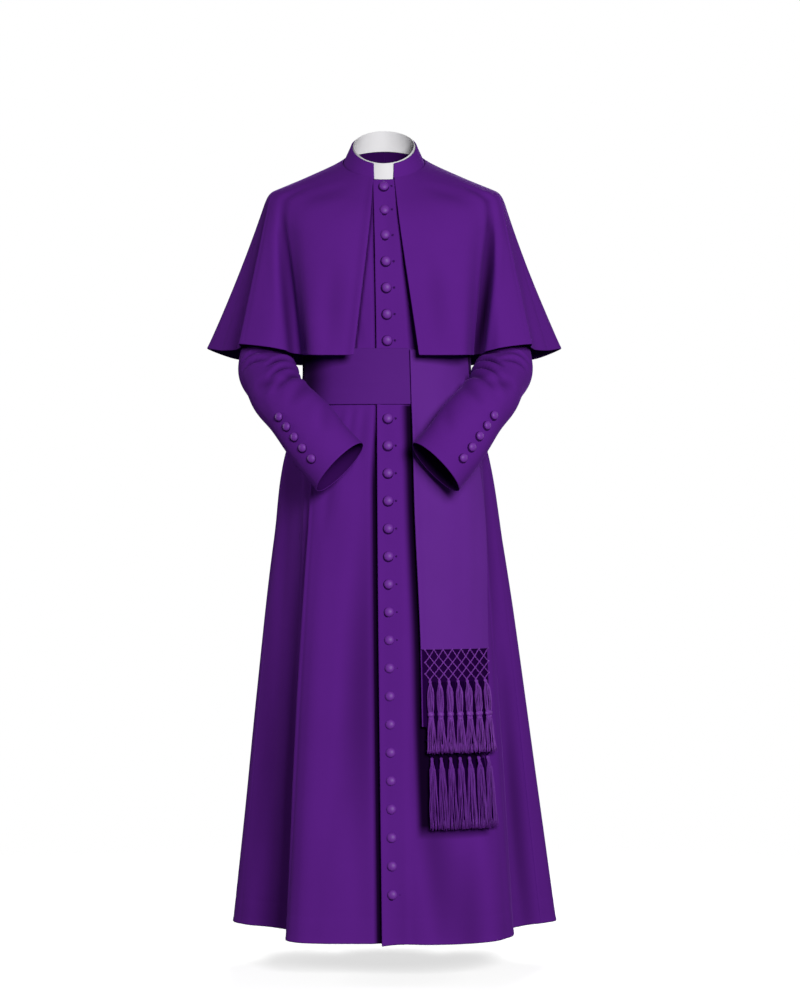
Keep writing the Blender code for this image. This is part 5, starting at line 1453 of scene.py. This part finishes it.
class Fringe:
    """One fringe: its place under a fall, and the form that all its tassels share."""

    def __init__(self, bottom_z, lift, axis, head, strands_to, end_radius, bindings, seed, net_lit):
        self.top_z = bottom_z - SEAM_GAP - NET_HEIGHT
        self.lift = lift - NET_CLOTH / 2
        self.axis = [column(axis, TASSEL_COLUMNS, name) for name in TASSEL_COLUMNS]
        self.head = np.array(head)
        self.head_end = self.head[-1, 0]
        self.strands_to = strands_to
        self.end_radius = end_radius
        self.bindings = bindings
        self.net_lit = net_lit
        self.random = np.random.default_rng(seed)

    def head_radius(self, down):
        return through(self.head[:, 0], self.head[:, 1], down)

    def skirt_radius(self, down):
        neck = self.head[-1, 1]
        share = np.clip((down - self.head_end) / (self.strands_to - self.head_end), 0, 1)
        return neck + (self.end_radius - neck) * share**SKIRT_SPREADS

    def point(self, place, down, sideways, ahead):
        """A point of the tassel at place, sideways and ahead of its axis."""
        off = np.interp(down, *self.axis)
        z = self.top_z - down
        across = net_knot(NET_ROWS, place)[0] + sideways / fall_width(z)
        return fall_point(across, z, self.lift + off + ahead)

    def yarns(self, place, count, down_from, down_to, radius_of, spread):
        """A tassel's yarns between two depths, round its axis at the radius that radius_of gives."""
        steps = np.linspace(0, 1, YARN_STEPS)
        vary = self.random.uniform
        turn = 2 * np.pi * (np.arange(count) + vary(-YARN_STRAY, YARN_STRAY, count)) / count
        ends = down_to + vary(-1, 1, count) * spread
        down = down_from + (ends[:, None] - down_from) * steps
        radius = radius_of(down)
        stray = vary(-1, 1, (count, 1)) * steps**2 * spread
        turns = steps * vary(*YARN_TURNS, (count, 1)) + vary(0, 1, (count, 1))
        wave = YARN_WAVE * np.sin(2 * np.pi * turns)
        sideways = radius * np.cos(turn)[:, None] + stray + wave
        ahead = TASSEL_FLATNESS * radius * np.sin(turn)[:, None]
        return tubes(self.point(place, down, sideways, ahead), YARN_RADIUS, YARN_SIDES)

    def turned(self, place, down, radius, ahead=0.0):
        """A round body about a tassel's axis: its middle, or a binding."""
        turn = np.linspace(0, 2 * np.pi, BINDING_SIDES, endpoint=False)
        down, wide = down[:, None] + 0 * turn, radius[:, None]
        ahead = BINDING_FLATNESS * wide * np.sin(turn) + ahead
        points = self.point(place, down, wide * np.cos(turn), ahead)
        index = numbered(points)
        uv = np.stack([down, turn * BINDING_WEAVE + 0 * down], axis=-1)
        return points.reshape(-1, 3), ring_quads(index[:-1], index[1:]), uv.reshape(-1, 2)

    def tassel(self, place):
        """A tassel's yarns and bindings."""
        def in_head(down):
            return self.head_radius(down) - YARN_RADIUS

        def inside(down):
            return INNER_SHARE * self.skirt_radius(down)

        root, tip = self.head_end - ROOT_ABOVE, self.strands_to
        parts = [
            self.yarns(place, HEAD_YARNS, HEAD_FROM, self.head_end, in_head, 0.0),
            self.yarns(place, SKIRT_YARNS, root, tip, self.skirt_radius, SKIRT_RAGGED),
            self.yarns(place, INNER_YARNS, root, tip, inside, INNER_RAGGED),
        ]
        bend = np.linspace(-1, 1, BINDING_RINGS)
        bulge = BINDING_ENDS + (1 - BINDING_ENDS) * np.sqrt(1 - bend**2)
        for at, half, radius in self.bindings:
            parts.append(self.turned(place, at + half * bend, radius * bulge))
        return parts

    def core(self, place):
        """The dark middle of a tassel, which fills it behind its yarns: painted shade inside the
        tassel.
        """
        down = np.linspace(CORE_FROM, self.strands_to - CORE_SHORT, CORE_RINGS)
        inside = np.where(down < self.head_end, self.head_radius(down), self.skirt_radius(down))
        tapered = np.clip((self.strands_to - down) / CORE_TAPERS, 0, 1)
        return self.turned(place, down, TASSEL_FLATNESS * inside * tapered)

    def shade(self, place):
        """Dark yarns that hang behind the gap beside a tassel: painted shade in the gap."""
        down = np.linspace(GAP_FROM, self.strands_to - GAP_SHORT, GAP_RINGS)
        return self.turned(place, down, np.full_like(down, GAP_SHADE_RADIUS), -GAP_BEHIND)

    def pieces(self, name, yarn, core):
        """The net and tassels in one piece, and the painted shade behind them in another: the tassels'
        dark middles, the dark yarns in the gaps, and the net too where it is not lit.
        """
        net = net_parts(self.top_z + SEAM_GAP + NET_HEIGHT, self.lift + NET_CLOTH / 2)
        yarns, shade_parts = [], [self.shade(place + 0.5) for place in range(TASSELS - 1)]
        # a net that is not lit goes with the painted shade, in the dark yarn
        (yarns if self.net_lit else shade_parts).extend(net)
        for place in range(TASSELS):
            yarns += self.tassel(place)
            shade_parts.append(self.core(place))
        front = mesh_piece(name + "_yarns", *joined(yarns), [yarn], "fringe_silk")
        behind = mesh_piece(name + "_cores", *joined(shade_parts), [core], "fringe_silk")
        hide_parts(name)
        return [front, behind]


def fringe_pieces(looks):
    """Both fringes, by the piece of the sash that each hangs from."""
    front = Fringe(
        bottom_z=FRONT_FALL_BOTTOM_Z, lift=FRONT_FALL_LIFT, axis=BANDED_TASSEL, head=BANDED_HEAD,
        strands_to=BANDED_STRANDS_TO, end_radius=BANDED_END_RADIUS, bindings=BANDED_BINDINGS,
        seed=FRONT_FRINGE_SEED, net_lit=True,
    )
    rear = Fringe(
        bottom_z=REAR_FALL_BOTTOM_Z, lift=REAR_FALL_LIFT, axis=PLAIN_TASSEL, head=PLAIN_HEAD,
        strands_to=PLAIN_STRANDS_TO, end_radius=PLAIN_END_RADIUS, bindings=PLAIN_BINDINGS,
        seed=REAR_FRINGE_SEED, net_lit=False,
    )
    core = looks["fringe_core"]
    return {
        "sash_fall_front_cloth": front.pieces("sash_fringe_front", looks["fringe_yarn"], core),
        "sash_fall_rear_cloth": rear.pieces("sash_fringe_rear", looks["fringe_yarn_rear"], core),
    }


# ---------------------------------------------------------------- buttons

def button_form(name, radius, height, looks):
    """A covered button: a dome of cloth gathered under its rim, over a dark disc that lies on the
    garment below it and towards the wearer's right, a painted shadow."""
    turn = 2 * np.pi * np.arange(BUTTON_SIDES) / BUTTON_SIDES
    share, rise = np.array(BUTTON_DOME).T[..., None]
    shadow_share, shadow_rise = np.array(BUTTON_SHADOW).T[..., None]
    gathers = GATHER_DEPTH * np.cos(turn * BUTTON_GATHERS) * np.clip(1 - rise / GATHERS_TO, 0, 1)
    flat = np.concatenate([share * radius * (1 + gathers), shadow_share * radius + 0 * turn])
    high = np.concatenate([rise * height * BUTTON_FULLNESS, shadow_rise]) + 0 * turn
    aside = np.concatenate([0 * share, 0 * shadow_share + BUTTON_SHADOW_ASIDE])
    x, y = flat * np.cos(turn) - aside, flat * np.sin(turn) - BUTTON_SHADOW_LOWER * aside
    points = np.stack([x, y, high], axis=-1)
    index = numbered(points)
    rows = np.delete(np.arange(len(index) - 1), len(share) - 1)
    quads = ring_quads(index[rows], index[rows + 1])
    dark = np.repeat(rows >= len(share), BUTTON_SIDES)
    points = points.reshape(-1, 3)
    return new_mesh(name, points, quads, points[:, :2], looks, dark)


def place_button(name, node, mesh, point, normal):
    """Stands a button on the cloth, in place of its solid."""
    button = linked(name, mesh)
    button.matrix_world = frame_on(point, normal)
    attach(button, "root")
    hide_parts(node)
    return button


def frame_on(point, normal):
    """A placing with Z along the cloth's normal, Y up the cloth and X across it."""
    normal = Vector(normal)
    turned = normal.to_track_quat("Z", "Y").to_matrix().to_4x4()
    turned.translation = Vector(point)
    return turned


def button_levels():
    """Levels of the front buttons, spaced along the cloth from the neckline down."""
    on_yoke = np.linspace(1, 0, YOKE_STEPS)
    levels = np.concatenate([on_yoke, np.linspace(0, HEM_Z - CHEST_Z, FRONT_STEPS)[1:]])
    lengths = lengths_along(body_surface(np.zeros_like(levels), levels))
    pitches = [BUTTON_PITCH_CHEST] * BUTTONS_ON_CHEST + [BUTTON_PITCH] * BUTTON_COUNT
    along = BUTTON_FIRST + np.cumsum([0.0] + pitches)[:BUTTON_COUNT]
    found = np.interp(along, lengths, levels)
    return {i + 1: level for i, level in enumerate(found) if i not in BUTTONS_UNDER_SASH}


def front_button_pieces(looks):
    """The front buttons, on the left front's raised edge."""
    mesh = button_form("front_button_form", BUTTON_RADIUS, BUTTON_HEIGHT, looks)
    for number, level in button_levels().items():
        normal = normals(body_surface, np.array(0.0), np.array(level))
        point = body_surface(0.0, level) + normal * (OVERLAP_LIFT + BUTTON_RISE)
        node = f"button_front_{number:02d}"
        place_button(node + "_covered", node, mesh, point, normal)


def beside_button(level, x, y, rise):
    """Points on the left front, x towards the wearer's left of a button, y up and rise off it."""
    at = np.full_like(x, level)
    around = x / centre_speed(at)
    normal = normals(body_surface, around, at)
    aside = body_surface(around + STEP, at) - body_surface(around - STEP, at)
    up = unit(np.cross(normal, aside))
    lift = overlap_lift(around, at) + rise
    return body_surface(around, at) + normal * lift[:, None] + up * y[:, None]


def buttonhole_pieces(thread, dark):
    """The end of each hand-worked buttonhole: a small eyelet beside the button, ringed with thread.
    Its hole is a dark body of painted shade.
    """
    turn = np.linspace(-np.pi, np.pi, THREAD_STEPS)
    ring = EYELET_AT + EYELET_RADIUS * np.cos(turn), EYELET_RADIUS * np.sin(turn)
    steps = np.linspace(-1, 1, EYELET_RINGS)
    x = EYELET_AT + EYELET_RADIUS * steps
    threads, holes = [], []
    for level in button_levels().values():
        threads.append(beside_button(level, *ring, THREAD_RISE))
        holes.append(beside_button(level, x, 0 * x, -EYELET_SUNK))
    threads = tubes(np.array(threads), BUTTONHOLE_THREAD, THREAD_SIDES)
    mesh_piece("buttonhole_threads", *threads, [thread], "wool")
    width = EYELET_RADIUS * np.sqrt(1 - (1 - EYELET_ENDS**2) * steps**2)
    holes = tubes(np.array(holes), width, EYELET_SIDES)
    mesh_piece("buttonhole_eyelets", *holes, [dark], "wool")


def cuff_button_pieces(which, side, looks):
    def surface(turn, along):
        return sleeve_surface(turn, along, side)

    turn = math.radians(CUFF_BUTTON_DEG)
    alongs = np.linspace(1, 0.5, FOREARM_STEPS)  # from the mouth up to the elbow
    lengths = lengths_along(surface(turn, alongs))
    distances = CUFF_BUTTON_FROM_MOUTH + CUFF_BUTTON_PITCH * np.arange(CUFF_BUTTONS)
    mesh = button_form(f"cuff_button_form_{which}", CUFF_BUTTON_RADIUS, CUFF_BUTTON_HEIGHT, looks)
    for i, along in enumerate(np.interp(distances, lengths, alongs)):
        normal = normals(surface, np.array(turn), np.array(along)) * side
        point = surface(turn, along) + normal * CUFF_BUTTON_RISE
        node = f"button_cuff_{which}_{i + 1}"
        place_button(node + "_covered", node, mesh, point, normal)


# ---------------------------------------------------------------- materials

def put(socket, value):
    """Links a source to a socket, or sets the socket's own value."""
    if isinstance(value, bpy.types.NodeSocket):
        socket.id_data.links.new(value, socket)
    else:
        socket.default_value = value


def scaled(colour, share):
    """A darker or lighter colour."""
    return tuple(c * share for c in colour)


class Nodes:
    """Builds one material's nodes, with each node's inputs named where it is made."""

    def __init__(self, name):
        self.material = bpy.data.materials.new(name)
        self.material.use_nodes = True
        self.tree = self.material.node_tree
        self.shader = self.tree.nodes["Principled BSDF"]

    def add(self, kind, settings=None, **inputs):
        """A node with these settings, and with these values or sources in its inputs."""
        node = self.tree.nodes.new(kind)
        for key, value in (settings or {}).items():
            setattr(node, key, value)
        for key, value in inputs.items():
            put(next(s for s in node.inputs if s.name == key.replace("_", " ") and s.enabled), value)
        return node

    def weave(self):
        """Metres across and along the cloth."""
        return self.add("ShaderNodeUVMap", {"uv_map": "weave"}).outputs["UV"]

    def place(self):
        """Metres in the piece's own frame."""
        return self.add("ShaderNodeTexCoord").outputs["Object"]

    def noise(self, vector, scale, detail=2.0, rough=0.5):
        inputs = {"Vector": vector, "Scale": scale, "Detail": detail, "Roughness": rough}
        return self.add("ShaderNodeTexNoise", **inputs).outputs["Fac"]

    def waves(self, vector, period, angle_deg, distort):
        """Parallel lines at an angle, one each period in metres."""
        turn = (0.0, 0.0, math.radians(angle_deg))
        turned = self.add("ShaderNodeMapping", Vector=vector, Rotation=turn).outputs["Vector"]
        inputs = {"Vector": turned, "Scale": WAVE_SCALE / period, "Distortion": distort}
        return self.add("ShaderNodeTexWave", **inputs).outputs["Fac"]

    def math(self, operation, a, b):
        node = self.add("ShaderNodeMath", {"operation": operation})
        put(node.inputs[0], a)
        put(node.inputs[1], b)
        return node.outputs[0]

    def blend(self, a, b, share):
        """This share of a, and the rest of b."""
        return self.math("ADD", self.math("MULTIPLY", a, share), self.math("MULTIPLY", b, 1 - share))

    def mixed(self, factor, low, high):
        """A colour that runs from low to high as factor goes from 0 to 1."""
        node = self.add("ShaderNodeMix", {"data_type": "RGBA"})
        share, *ends = (s for s in node.inputs if s.enabled)
        put(share, factor)
        for end, colour in zip(ends, (low, high)):
            put(end, (*colour, 1.0) if isinstance(colour, tuple) else colour)
        return next(s for s in node.outputs if s.enabled)

    def varied(self, factor, colour, shares):
        """A colour between its darkest and its lightest share."""
        return self.mixed(factor, *(scaled(colour, share) for share in shares))

    def ramp(self, value, start, end):
        """A smooth run from 0 to 1 as value goes from start to end."""
        settings = {"interpolation_type": "SMOOTHSTEP"}
        inputs = {"Value": value, "From Min": start, "From Max": end}
        return self.add("ShaderNodeMapRange", settings, **inputs).outputs["Result"]

    def bump(self, height, distance, strength, **normal):
        inputs = {"Height": height, "Distance": distance, "Strength": strength, **normal}
        return self.add("ShaderNodeBump", **inputs).outputs["Normal"]

    def finish(self, colour, normal, roughness, others):
        """The finished material. others are more of the shader's inputs by name."""
        inputs = {"Base Color": colour, "Normal": normal, "Roughness": roughness, **others}
        for key, value in inputs.items():
            put(self.shader.inputs[key], value)
        return self.material


def woven(name, colour, twill_deg, period, roughness, specular, bump, fibres):
    """A smooth woven cloth: fine lines of the weave, soft fibre, a slight unevenness of dye, and
    painted shade where the piece's hollow attribute is high.
    """
    nodes = Nodes(name)
    weave, place = nodes.weave(), nodes.place()
    lines = nodes.waves(weave, period, twill_deg, distort=1.5)
    fibre = nodes.noise(weave, scale=1.2 / period, **FIBRE)
    cloud = nodes.noise(place, **CLOUDS)
    fine = nodes.blend(lines, fibre, share=0.6)
    dyed = nodes.varied(nodes.blend(fine, cloud, share=0.45), colour, DYE)
    hollow = nodes.add("ShaderNodeAttribute", {"attribute_name": "hollow"}).outputs["Fac"]
    # painted shade: the colour darkens towards its darkest share as the attribute nears 1
    tint = nodes.mixed(hollow, dyed, scaled(colour, DARKEST_SHARE))
    soft = nodes.bump(cloud, distance=0.0006, strength=0.5)
    normal = nodes.bump(fine, distance=bump, strength=0.6, Normal=soft)
    rough = nodes.math("ADD", nodes.math("MULTIPLY", fine, 0.10), roughness - 0.05)
    return nodes.finish(tint, normal, rough, {"Specular IOR Level": specular, **fibres})


def shaded_silk(name):
    """The rear fall's cloth: the sash's silk, dark where the fringe before it keeps off the light."""
    nodes = Nodes(name)
    weave, place = nodes.weave(), nodes.place()
    silk = nodes.varied(nodes.noise(place, **CLOUDS), SILK, DYE)
    apart = nodes.add("ShaderNodeSeparateXYZ", Vector=weave).outputs
    shades = [nodes.ramp(apart[axis], start, end) for axis, start, end in REAR_SHADE_EDGES]
    tint = nodes.mixed(nodes.math("MULTIPLY", *shades), silk, SHADED_SILK)
    fibre = nodes.noise(weave, REAR_FIBRE_SCALE, **FIBRE)
    normal = nodes.bump(fibre, distance=0.0001, strength=0.6)
    return nodes.finish(tint, normal, roughness=0.66, others={"Specular IOR Level": 0.01})


def plied(name, colour, period, roughness, specular):
    """Twisted silk yarn, with its ply showing as slanting ridges."""
    nodes = Nodes(name)
    ply = nodes.waves(nodes.weave(), period, angle_deg=52.0, distort=0.6)
    uneven = nodes.noise(nodes.place(), scale=240.0)
    tint = nodes.varied(nodes.blend(ply, uneven, share=0.55), colour, PLY)
    normal = nodes.bump(ply, distance=0.00022, strength=0.8)
    return nodes.finish(tint, normal, roughness, {"Specular IOR Level": specular})


def linen(name):
    """The white band: close, smooth cloth with a faint warp."""
    nodes = Nodes(name)
    weave = nodes.weave()
    warp, weft = (nodes.waves(weave, LINEN_PERIOD, angle, distort=0.8) for angle in (0.0, 90.0))
    fine = nodes.math("MULTIPLY", nodes.math("ADD", warp, weft), 0.5)
    tint = nodes.mixed(nodes.noise(weave, scale=40.0), scaled(LINEN, 0.965), LINEN)
    normal = nodes.bump(fine, distance=0.00005, strength=0.5)
    return nodes.finish(tint, normal, roughness=0.48, others={"Specular IOR Level": 0.35})


def pale_floor(name):
    """The floor, which fades out into the white behind it."""
    nodes = Nodes(name)
    place = nodes.place()
    tint = nodes.mixed(nodes.noise(place, scale=3.0), scaled(FLOOR, 0.99), FLOOR)
    normal = nodes.bump(nodes.noise(place, scale=60.0), distance=0.0002, strength=0.2)
    glow = {"Emission Color": WHITE, "Emission Strength": FLOOR_GLOW}
    material = nodes.finish(tint, normal, roughness=0.7, others=glow)
    away = nodes.add("ShaderNodeVectorMath", {"operation": "LENGTH"})
    put(away.inputs[0], place)
    clear = nodes.add("ShaderNodeBsdfTransparent")
    either = nodes.add("ShaderNodeMixShader")
    put(either.inputs[0], nodes.ramp(away.outputs["Value"], *FLOOR_FADES))
    put(either.inputs[1], nodes.shader.outputs[0])
    put(either.inputs[2], clear.outputs[0])
    put(nodes.tree.nodes["Material Output"].inputs["Surface"], either.outputs[0])
    return material


def garment_looks():
    """The garment's materials, by name."""
    looks = {"purple_sash_rear": shaded_silk("purple_sash_rear"), "white_linen": linen("white_linen")}
    for rows, columns, make in ((WOVEN, WOVEN_COLUMNS, woven), (PLIED, PLIED_COLUMNS, plied)):
        for row in rows:
            values = dict(zip(columns, row))
            looks[values["name"]] = make(**values)
    return looks


# ---------------------------------------------------------------- stage, light and camera

def stage():
    """A pale floor, which is no part of the garment and throws no light on it."""
    mesh = bpy.data.meshes.new("floor")
    half = FLOOR_FADES[1]
    corners = [(-half, -half), (half, -half), (half, half), (-half, half)]
    mesh.from_pydata([(x, y, FLOOR_Z) for x, y in corners], [], [(0, 1, 2, 3)])
    mesh.materials.append(pale_floor("pale_floor"))
    floor = linked("floor", mesh)
    floor.visible_diffuse = False
    floor.visible_glossy = False


def lights():
    """Soft square lights, all aimed at the middle of the garment."""
    for row in LIGHTS:
        values = dict(zip(LIGHT_COLUMNS, row))
        light = bpy.data.lights.new(values["name"], "AREA")
        light.size = values["size"]
        light.energy = values["power"]
        placed = linked(values["name"], light)
        placed.location = [values[axis] for axis in "xyz"]
        aim = Vector(LIGHT_TARGET) - placed.location
        placed.rotation_euler = aim.to_track_quat("-Z", "Y").to_euler()


def surroundings():
    """White where the camera sees past the garment, and a faint light on it from all around."""
    world = bpy.data.worlds.new("studio")
    world.use_nodes = True
    bpy.context.scene.world = world
    nodes = world.node_tree.nodes
    seen, around = nodes["Background"], nodes.new("ShaderNodeBackground")
    for background, strength in ((seen, 1.0), (around, AMBIENT)):
        put(background.inputs["Color"], WHITE)
        put(background.inputs["Strength"], strength)
    either = nodes.new("ShaderNodeMixShader")
    put(either.inputs[0], nodes.new("ShaderNodeLightPath").outputs["Is Camera Ray"])
    put(either.inputs[1], around.outputs[0])
    put(either.inputs[2], seen.outputs[0])
    put(nodes["World Output"].inputs["Surface"], either.outputs[0])


def camera():
    """Level with the middle of the garment, straight in front of it."""
    made = bpy.data.cameras.new("camera")
    made.lens = CAMERA_LENS
    made.sensor_width = CAMERA_SENSOR
    made.sensor_fit = "AUTO"
    placed = linked("camera", made)
    placed.location = CAMERA_AT
    placed.rotation_euler = (math.pi / 2, 0, 0)
    bpy.context.scene.camera = placed
    bpy.context.scene.view_settings.view_transform = "Standard"


# ---------------------------------------------------------------- the garment

def sleeve_pieces(wool):
    """The sleeves' pieces, by the node that each stands for."""
    start, end = SLEEVE_SEAMS_DEG
    halves = (("top", (start, end)), ("under", (end, start + 360)))
    pieces = {}
    for which, side in SIDES:
        for half, seams in halves:
            node = f"sleeve_{half}_{which}"
            pieces[node] = sleeve_piece(node + "_cloth", side, seams, wool)
    return pieces


def sash_pieces(looks):
    """The sash's pieces, by the node that each stands for."""
    silk, rear_silk = [looks["purple_sash"]], [looks["purple_sash_rear"]]
    front, rear = "sash_fall_front", "sash_fall_rear"
    return {
        "sash_band": sash_band_piece([looks["purple_sash_band"]]),
        front: fall_piece(front + "_cloth", FRONT_FALL_BOTTOM_Z, FRONT_FALL_LIFT, silk),
        rear: fall_piece(rear + "_cloth", REAR_FALL_BOTTOM_Z, REAR_FALL_LIFT, rear_silk),
    }


def cloth_pieces(looks):
    """All pieces of cloth, by the node that each stands for."""
    wool = [looks["purple_wool"], looks["purple_wool_wrong_side"]]
    return {
        "front_left": front_left_piece(wool),
        "front_right": front_right_piece(wool),
        "back_left": back_piece("back_left_cloth", 1.0, wool),
        "back_right": back_piece("back_right_cloth", -1.0, wool),
        "collar": collar_piece(wool),
        "collar_insert": insert_piece([looks["white_linen"]]),
        **sash_pieces(looks),
        **sleeve_pieces(wool),
        **cape_pieces(wool),
    }


def button_pieces(looks):
    """All buttons and the buttonholes' ends."""
    covered = [looks["button_wool"], looks["shaded_wool"]]
    for which, side in SIDES:
        cuff_button_pieces(which, side, covered)
    front_button_pieces(covered)
    buttonhole_pieces(looks["buttonhole_thread"], looks["eyelet_dark"])


def declare_sheets(pieces, going_with):
    """Looks up the pieces that go with each piece of cloth, and does nothing more with them."""
    for piece in pieces:
        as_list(going_with.get(piece.name, []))


def main():
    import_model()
    camera()
    lights()
    surroundings()
    stage()
    looks = garment_looks()
    sheets = cloth_pieces(looks)
    for node, piece in sheets.items():
        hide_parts(node)
    button_pieces(looks)
    declare_sheets(sheets.values(), fringe_pieces(looks))


main()
